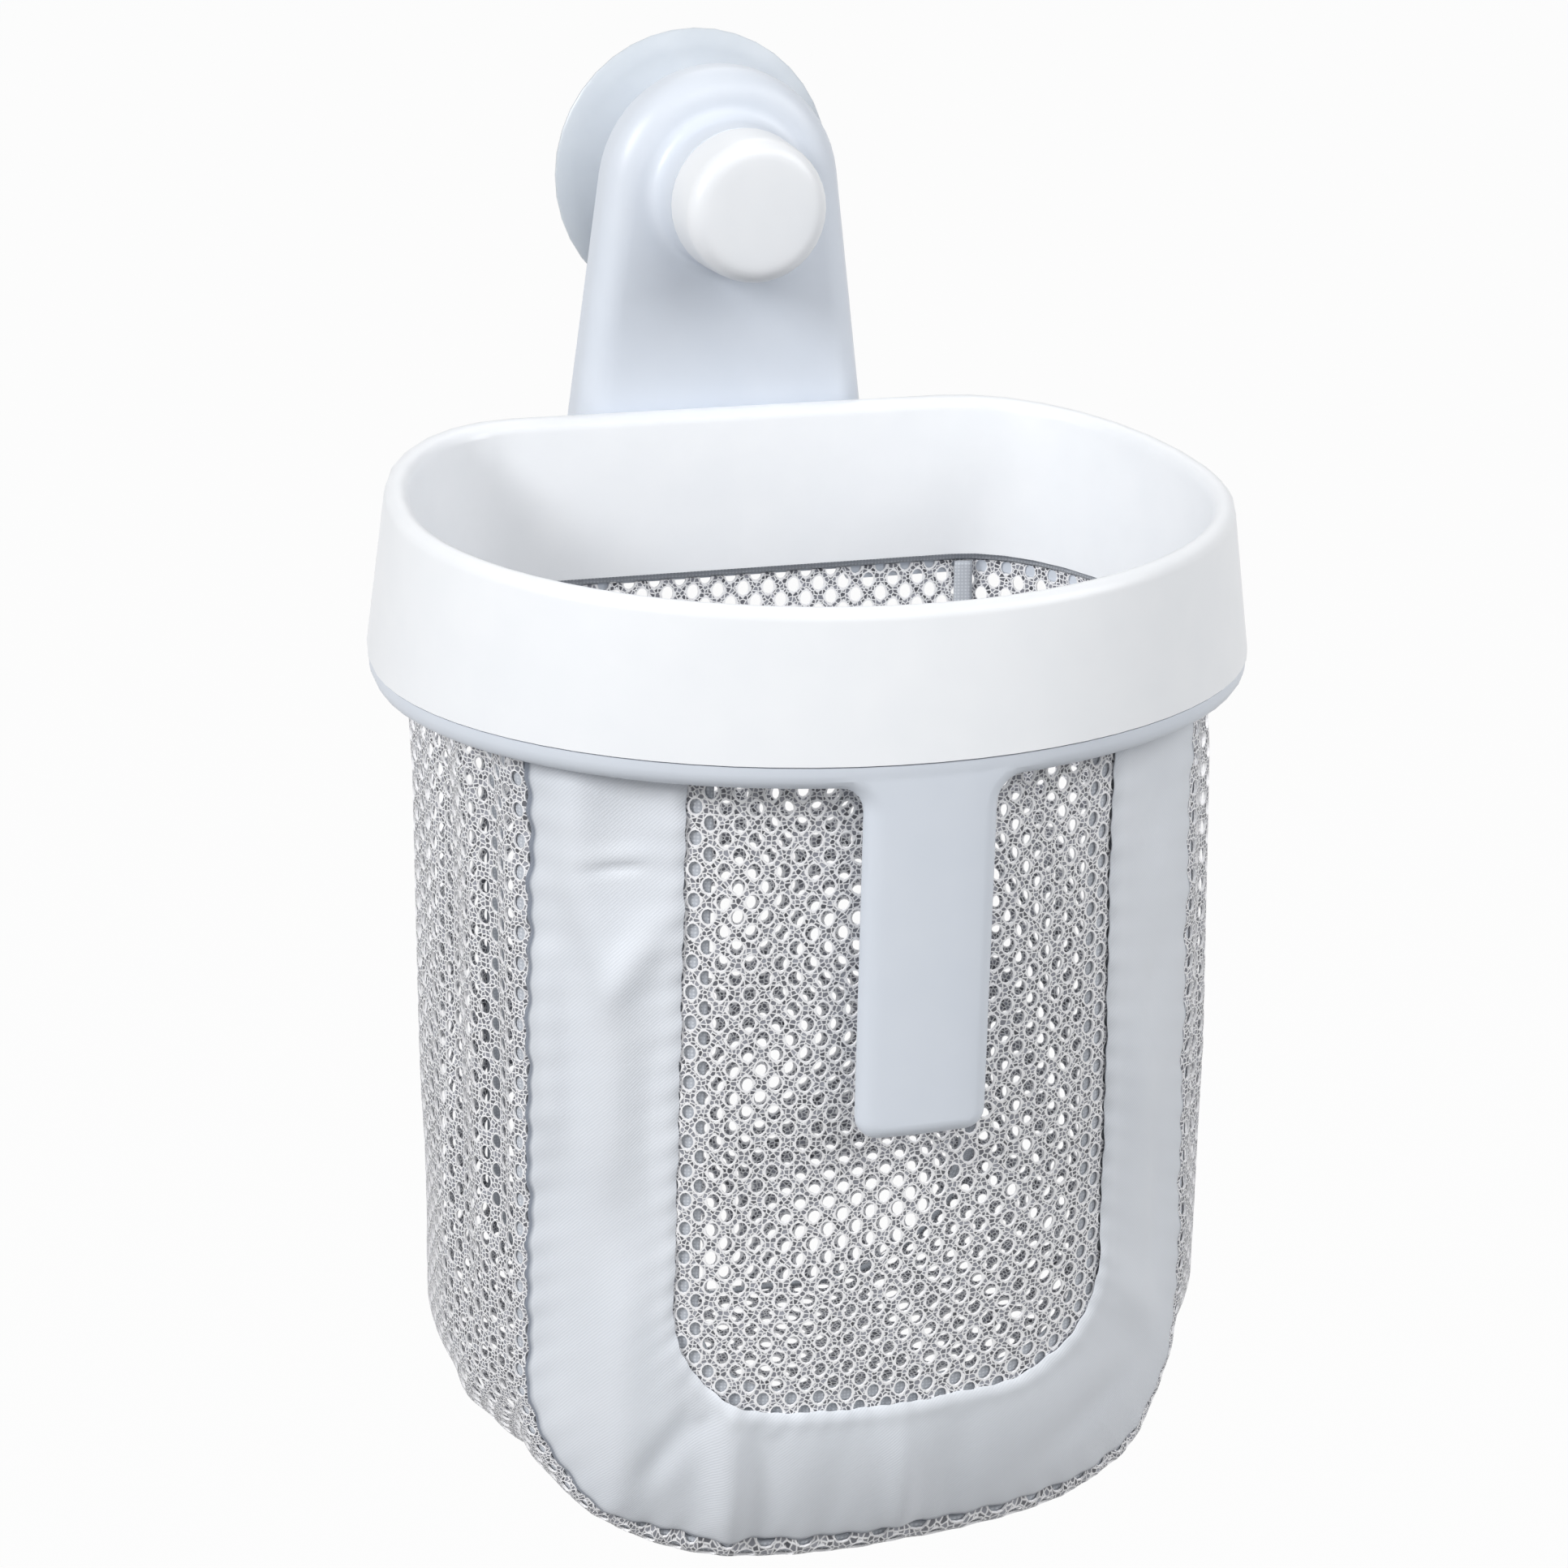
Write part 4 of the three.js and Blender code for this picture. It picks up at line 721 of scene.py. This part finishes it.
def kept(flat, quads, marks):
    """The net without the quads that trimming has squeezed to nothing."""
    a, b, c, d = (flat[quads[:, k]] for k in range(4))
    first, second = c - a, d - b
    area = np.abs(first[:, 0] * second[:, 1] - first[:, 1] * second[:, 0]) / 2
    quads = quads[area > SLIVER]
    used, number = np.unique(quads, return_inverse=True)
    return flat[used], number.reshape(-1, 4), marks[used]


def trimmed_to_u(flat, half, corner, depth):
    """Points outside a U, with x across and the distance down from the top, moved onto its edge."""
    x, down = flat[:, 0], np.maximum(flat[:, 1], 0)
    side = np.abs(x) - (half - corner)
    low = down - (depth - corner)
    away = np.hypot(np.maximum(side, 0), np.maximum(low, 0))
    pull = np.where(away > corner, corner / np.maximum(away, 1e-9), 1.0)
    x = np.where((side > 0) & (away > corner), np.sign(x) * (half - corner + side * pull), x)
    down = np.where((low > 0) & (away > corner), depth - corner + low * pull, down)
    return np.stack([x, down], -1)


print("pieces of net under", SLIVER, "square mm are dropped")

# %% [markdown]
# ## Net window
# The window's net is sewn behind the cloth, so it lies about a millimetre further in and runs
# six millimetres past the edge of the cut. Flat distances are turned into places on the curved
# front by measuring along the curve, which keeps the holes the same size right across.

# %% Hang the window net
NET_THICK = 0.55
NET_BEHIND = 0.5
WINDOW_SPARE = 4
WINDOW_LEVEL = -180.0
WINDOW_FOLDS = [(-30, -110, -34, -235, 7, -0.9), (24, -112, 30, -240, 8, 0.8), (-8, -190, -4, -258, 8, -0.7)]

curve_x = np.linspace(-92, 92, 369)
curve_run = run_length(np.stack([curve_x, front_y(curve_x, np.full_like(curve_x, WINDOW_LEVEL))], -1))
curve_run -= np.interp(0, curve_x, curve_run)
window_half_run = float(np.interp(WINDOW_HALF + LAP, curve_x, curve_run))
window_drop = BAG_TOP - WINDOW_FOOT + LAP
flat, quads, marks = flat_net((-window_half_run - WINDOW_SPARE, 0),
                              (window_half_run + WINDOW_SPARE, window_drop + WINDOW_SPARE))
flat = trimmed_to_u(flat, window_half_run, WINDOW_CORNER + LAP, window_drop)
flat, quads, marks = kept(flat, quads, marks)
x = np.interp(flat[:, 0], curve_run, curve_x)
z = BAG_TOP - flat[:, 1]
points = on_front(x, z, folds_at(x, z, WINDOW_FOLDS) - CLOTH_THICK - NET_BEHIND)
window_net = cloth_piece("window_net", points, facing_out(points, quads), flat, knit_mesh, NET_THICK,
                         marks, smooth=False)
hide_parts("window_mesh")
print("window net:", len(quads), "quads")

# %% [markdown]
# ## Net back
# The back is flat against the wall and has no cloth on it. Its lower corners are round, and its
# edge follows the seam and laps the side strip by a millimetre. It needs no measuring along a
# curve: the flat net is stood upright as it is, with two shallow folds that fade at the seams.

# %% Hang the back net
BACK_CORNER = 0.9 * CORNER
BACK_LAP = 1.2
BACK_SPARE = 6
BACK_FADE = 12
BACK_FOLDS = [(-25, -105, -20, -230, 9, -0.9), (28, -140, 22, -280, 9, 0.8)]

back_drop = BAG_TOP - BACK_FOOT
flat, quads, marks = flat_net((-BACK_SEAM - BACK_SPARE, 0), (BACK_SEAM + BACK_SPARE, back_drop + BACK_SPARE))
flat = trimmed_to_u(flat, BACK_SEAM + BACK_LAP, BACK_CORNER + BACK_LAP, back_drop + BACK_LAP)
flat, quads, marks = kept(flat, quads, marks)
fallen = np.clip(flat[:, 1] / (back_drop - BACK_CORNER), 0, 1)
x, z = flat[:, 0] * (1 + SEAM_FLARE * fallen / BACK_SEAM), BAG_TOP - flat[:, 1]
edge_fade = np.clip((BACK_SEAM - np.abs(x)) / BACK_FADE, 0, 1) * np.clip((z - BACK_FOOT) / BACK_FADE, 0, 1)
y = back_y(z) + folds_at(x, z, BACK_FOLDS) * edge_fade
points = np.stack([x, y, z], -1)
back_net = cloth_piece("back_net", points, facing_out(points, quads), flat, knit_mesh, NET_THICK,
                       marks, smooth=False)
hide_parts("back_panel")
print("back net:", len(quads), "quads")

# %% [markdown]
# ## Side strip
# One long strip of net goes from the front seam to the back seam, bulging out along the D at the
# sides and sagging under the floor. It is first worked out as a smooth grid of places, with the
# gathers and creases that a sewn net has, and the flat net is then laid on that grid.

# %% Trace one side of the D from seam to seam
ROWS = 96


def side_curve(count):
    """Half of the D in plan, from the front seam to the back seam, at even distances."""
    corner = RIM_CORNER - CORNER_SHRINK * HEM_INSET
    start = math.pi - math.acos(FRONT_SEAM / BAG_HALF)
    front = np.linspace(start, math.pi, 120)
    rear = np.linspace(0, math.pi / 2, 120)[1:]
    rise = RIM_MIDDLE - BAG_BACK
    curve = np.concatenate([
        np.stack([BAG_HALF * np.cos(front), -RIM_MIDDLE - BAG_DEPTH * np.sin(front)], -1),
        np.stack([-(BAG_HALF - corner) - corner * np.cos(rear), -RIM_MIDDLE + rise * np.sin(rear)], -1)])
    run = run_length(curve)
    even = np.linspace(0, run[-1], count)
    return np.stack([np.interp(even, run, curve[:, k]) for k in (0, 1)], -1), run[-1]


plan, strip_width = side_curve(ROWS)
print("the strip is", round(strip_width, 1), "mm wide")

# %% Work out the strip as a grid of places
SAG = 0.3
PINCH = 0.25
ROLL_DROP = 8
ROLL_WIDTH = 3
ROLL_FADE = 45

share = np.linspace(0, 1, ROWS)
chord = plan[0] + (plan[-1] - plan[0]) * share[:, None]
bulge_out = chord[:, 0] - plan[:, 0]
bulge_along = plan[:, 1] - chord[:, 1]
back_seam = u_outline(BACK_SEAM, BACK_CORNER, BACK_FOOT, SEAM_FLARE)
half_turn = np.concatenate([np.zeros(SIDE_STEPS), np.linspace(0, math.pi / 2, BEND_STEPS, endpoint=False),
                            np.full(FOOT_STEPS, math.pi / 2)])
turn = np.concatenate([half_turn, [math.pi / 2], half_turn[::-1]])
hand = np.sign(front_seam[:, 0])
under = np.sin(turn) ** 2
swell = 1 - under + SAG * under - PINCH * np.sin(2 * turn) ** 2
outward = np.stack([hand * np.cos(turn), 0 * turn, -np.sin(turn)], -1)
from_front = share * strip_width
roll = ROLL_DROP * (1 - np.exp(-from_front / ROLL_WIDTH)) * np.exp(-from_front / ROLL_FADE)
reach_out = swell[:, None] * bulge_out + under[:, None] * roll
starts = np.stack([front_seam[:, 0], front_y(*front_seam.T), front_seam[:, 1]], -1)
ends = np.stack([back_seam[:, 0], back_y(back_seam[:, 1]), back_seam[:, 1]], -1)
strip = starts[:, None] + (ends - starts)[:, None] * share[None, :, None]
strip = strip + outward[:, None] * reach_out[..., None]
strip[..., 1] += bulge_along
strip_run = run_length(strip[:, ROWS // 2])
print("side strip:", round(strip_width), "by", round(strip_run[-1]), "mm")

# %% Gather the strip at the rim and crease it at the corners
STRIP_PUCKER = 0.5
GROOVE = 1.5
GROOVE_WIDTH = 1.6
STRIP_FADE = 7
RIGHT_SHARE = 0.8
LEFT_FOLDS = [(15, 0, 12, 130, 4.5, -2.2), (34, 0, 27, 150, 6, -2.0), (55, 0, 52, 120, 7, 1.6),
              (76, 10, 70, 170, 8, -1.6), (8, 178, 34, 222, 4, -2.0), (22, 172, 62, 212, 5, 1.6),
              (45, 186, 86, 226, 6, -1.8)]

across_mm = np.broadcast_to(share * strip_width, strip.shape[:2])
along_mm = np.broadcast_to(strip_run[:, None], strip.shape[:2])
end_mm = strip_run[-1]
side_folds = LEFT_FOLDS + [(a0, end_mm - b0, a1, end_mm - b1, width, RIGHT_SHARE * rise)
                           for a0, b0, a1, b1, width, rise in LEFT_FOLDS]
turned_normal = np.cross(np.gradient(strip, axis=0), np.gradient(strip, axis=1))
turned_normal /= np.linalg.norm(turned_normal, axis=-1, keepdims=True)
centre = np.array([0, -RIM_MIDDLE, (BAG_TOP + BAG_FOOT) / 2])
inward = (turned_normal * (strip - centre)).sum(-1, keepdims=True) < 0
strip_normal = np.where(inward, -turned_normal, turned_normal)
edge_fade = np.clip(across_mm / STRIP_FADE, 0, 1) * np.clip((strip_width - across_mm) / STRIP_FADE, 0, 1)
lift = folds_at(across_mm, along_mm, side_folds) * edge_fade
lift = lift + pucker(seam_run, STRIP_PUCKER)[:, None] * np.exp(-across_mm / PUCKER_REACH)
lift = lift - GROOVE * np.exp(-across_mm / GROOVE_WIDTH)
strip = strip + strip_normal * lift[..., None]
print("gathers and creases:", len(side_folds))

# %% Lay the net on the strip
# The rings round the holes are drawn thinner on the strip, whose net is stretched.
RIM_SHARE = 0.75


def on_strip(across, along, lift=0.0):
    """Places on the strip at distances from the front seam and along the strip."""
    row = np.interp(along, strip_run, np.arange(len(strip_run)))
    column = np.clip(across / strip_width, 0, 1) * (ROWS - 1)
    i = np.minimum(row.astype(int), len(strip_run) - 2)
    j = np.minimum(column.astype(int), ROWS - 2)
    a, b = (row - i)[:, None], (column - j)[:, None]
    raised = strip + strip_normal * lift
    near = raised[i, j] * (1 - b) + raised[i, j + 1] * b
    far = raised[i + 1, j] * (1 - b) + raised[i + 1, j + 1] * b
    return near * (1 - a) + far * a


flat, quads, marks = flat_net((0, 0), (strip_width, end_mm))
flat = np.stack([np.clip(flat[:, 0], 0, strip_width), np.clip(flat[:, 1], 0, end_mm)], -1)
flat, quads, marks = kept(flat, quads, marks)
points = on_strip(flat[:, 0], flat[:, 1])
side_net = cloth_piece("side_net", points, facing_out(points, quads), flat, knit_mesh, NET_THICK,
                       RIM_SHARE * marks, smooth=False)
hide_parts("side_gusset")
print("side net:", len(quads), "quads")

# %% [markdown]
# ## Tapes
# Raw net frays, so the seams are bound inside with a narrow plain-woven tape that is folded in
# half over the raw edge, and the window's edge has a facing of the same tape. A band of colour on
# the net would do from afar, but the fold can be seen from above, so each is a real strip. Through
# the outermost holes they show as a band of grey, and need only a weave, with ribs 0.9 mm apart.

# %% Plain-woven polyester tape
RIB = 0.9

hem_tape, tree, shader = new_material("polyester tape, grey, plain woven")
flat_place = add(tree, "ShaderNodeUVMap", uv_map="cloth_mm")
weave_scale = 2 * math.pi / (20 * RIB)
warp, weft = [add(tree, "ShaderNodeTexWave", {"Vector": flat_place.outputs["UV"], "Scale": weave_scale,
                                              "Distortion": 0.4},
                  wave_type="BANDS", bands_direction=way) for way in "XY"]
weave = add(tree, "ShaderNodeMath", {0: warp.outputs["Fac"], 1: weft.outputs["Fac"]}, operation="MULTIPLY")
tint = add(tree, "ShaderNodeMix", {"Factor": weave.outputs[0], "A": linear("#B9BEC6"),
                                   "B": linear("#D8DCE2")}, data_type="RGBA")
relief = add(tree, "ShaderNodeBump", {"Height": weave.outputs[0], "Strength": 0.4, "Distance": 0.1 * MM})
tree.links.new(tint.outputs["Result"], shader.inputs["Base Color"])
tree.links.new(relief.outputs["Normal"], shader.inputs["Normal"])
shader.inputs["Roughness"].default_value = 0.8
shader.inputs["Sheen Weight"].default_value = 0.15
print(hem_tape.name)

# %% Bind the front and back seams
TAPE_WIDTH = 10.2
TAPE_THICK = 0.5
TAPE_ROWS = 4
TAPE_GAPS = (0.4, 1.8)
RAW_EDGE = 1.0


def seam_tape(name, node, first):
    """A tape along the strip, inside the net and folded in half over the seam's raw edge."""
    across, along = np.meshgrid(np.linspace(first, first + TAPE_WIDTH / 2, TAPE_ROWS), strip_run)
    legs = [on_strip(across.ravel(), along.ravel(), -NET_THICK - gap).reshape(*across.shape, 3)
            for gap in TAPE_GAPS]
    points = np.concatenate([legs[0], legs[1][:, ::-1]], 1).reshape(-1, 3)
    faces = grid_faces(len(strip_run), 2 * TAPE_ROWS)
    width, length = np.meshgrid(np.linspace(0, TAPE_WIDTH, 2 * TAPE_ROWS), strip_run)
    laid = np.stack([width.ravel(), length.ravel()], -1)
    tape = cloth_piece(name, points, faces, laid, hem_tape, TAPE_THICK)
    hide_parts(node)
    return tape


front_tape = seam_tape("front_tape", "front_seam_tape", RAW_EDGE)
back_tape = seam_tape("back_tape", "back_seam_tape", strip_width - TAPE_WIDTH / 2 - RAW_EDGE)
print("tapes:", front_tape.name, back_tape.name)

# %% Face the window's edge
FACING_WIDTH = 5.5
FACING_ROWS = 8
FACING_BEHIND = 0.4

facing_inner = u_outline(WINDOW_HALF - FACING_WIDTH, WINDOW_CORNER - FACING_WIDTH, WINDOW_FOOT + FACING_WIDTH)
facing_outer = u_outline(WINDOW_HALF + LAP, WINDOW_CORNER + LAP, WINDOW_FOOT - LAP)
part = np.linspace(0, 1, FACING_ROWS)[None, :, None]
spread = facing_inner[:, None] * (1 - part) + facing_outer[:, None] * part
x, z = spread[..., 0], spread[..., 1]
lift = folds_at(x, z, WINDOW_FOLDS) - CLOTH_THICK - NET_BEHIND - NET_THICK - FACING_BEHIND
points = on_front(x, z, lift).reshape(-1, 3)
faces = facing_out(points, grid_faces(*x.shape))
window_tape = cloth_piece("window_tape", points, faces, spread.reshape(-1, 2), hem_tape, TAPE_THICK)
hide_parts("window_facing")
print("window tape:", len(points), "points")

# %% [markdown]
# ## Hem
# The mouth of the bag ends in a folded hem with a thick rolled edge. The rim is a channel, and
# the ring closes it from below, so that the roll can't be pulled out. Hardly any of it shows,
# but the bag would end in mid-air without it. It is a stack of D-shaped loops, because the lean
# and the thickness of the roll can then be set loop by loop.

# %% Trace the D of the bag's mouth
def mouth(inset, back_inset, count=240):
    """The D of the rim in plan, set in by a distance at the sides and the back."""
    half = rim_high[0] - inset
    depth = -rim_low[1] - RIM_MIDDLE - inset
    corner = RIM_CORNER - CORNER_SHRINK * inset
    rise = RIM_MIDDLE + rim_high[1] - back_inset
    front = np.linspace(0, math.pi, count // 2)
    bend = np.linspace(0, math.pi / 2, count // 4)[1:]
    left = np.stack([-(half - corner) - corner * np.cos(bend), -RIM_MIDDLE + rise * np.sin(bend)], -1)
    arc = np.stack([half * np.cos(front), -RIM_MIDDLE - depth * np.sin(front)], -1)
    return np.concatenate([arc, left, left[::-1] * (-1, 1)])


hem_low, hem_high = box_mm("bag_hem")
HEM_RISE = hem_high[2] - hem_low[2]
print("the hem stands", round(HEM_RISE, 1), "mm high")

# %% Roll the hem
HEM_BACK_INSET = 5.6
HEM_LEAN = 2.2
HEM_THICK = 0.7
HEM_PLAY = 0.35
BEAD_END = 9
BEAD_EASE = 30
levels = np.array([0, 2, 4, 8, 12, HEM_RISE - 3.2, HEM_RISE - 2.6, HEM_RISE - 1.6, HEM_RISE - 0.6,
                   HEM_RISE - 0.2])
bead = np.array([0, 0, 0, 0, 0, 0, 1.0, 1.3, 1.0, 0])

rings = []
for height, swelling in zip(levels, bead):
    inset = HEM_INSET - HEM_LEAN * height / HEM_RISE + HEM_PLAY
    loop = mouth(inset, HEM_BACK_INSET + HEM_PLAY)
    inner = mouth(inset + 1, HEM_BACK_INSET + HEM_PLAY)
    side = np.clip((rim_high[1] - BEAD_END - loop[:, 1]) / BEAD_EASE, 0, 1)[:, None]
    loop = loop + (loop - inner) * swelling * side
    rings.append(np.concatenate([loop, np.full((len(loop), 1), hem_low[2] + height)], -1))
hem_grid = np.stack(rings, 1)
hem_grid = np.concatenate([hem_grid, hem_grid[:1]])
around = run_length(hem_grid[:, 0])
hem_flat = np.stack(np.meshgrid(levels, around), -1).reshape(-1, 2)
points = hem_grid.reshape(-1, 3)
faces = facing_out(points, grid_faces(*hem_grid.shape[:2]))
hem = cloth_piece("bag_mouth_hem", points, faces, hem_flat, hem_tape, HEM_THICK)
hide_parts("bag_hem")
print("hem:", round(around[-1]), "mm round")

# %% [markdown]
# ## Work out how the front cloth was cut
# Every soft piece here is a sheet of cloth. For the front cloth, the rectangle it comes from is
# printed, and the area that is left where its corners and window are cut away is worked out.

def u_area(half, corner, drop):
    """Flat area of a U-shaped piece in square metres."""
    return (2 * half * drop - 2 * corner ** 2 * (1 - math.pi / 4)) * MM * MM


TURN_IN = 3
front_run = float(np.interp(FRONT_SEAM, curve_x, curve_run))
front_length = BAG_TOP - BAG_FOOT + TURN_IN
window_run = float(np.interp(WINDOW_HALF, curve_x, curve_run))
front_area = u_area(front_run, CORNER, front_length)
front_area -= u_area(window_run, WINDOW_CORNER, BAG_TOP - WINDOW_FOOT)
print("front cloth is cut from", round(2 * front_run), "by", round(front_length), "mm")
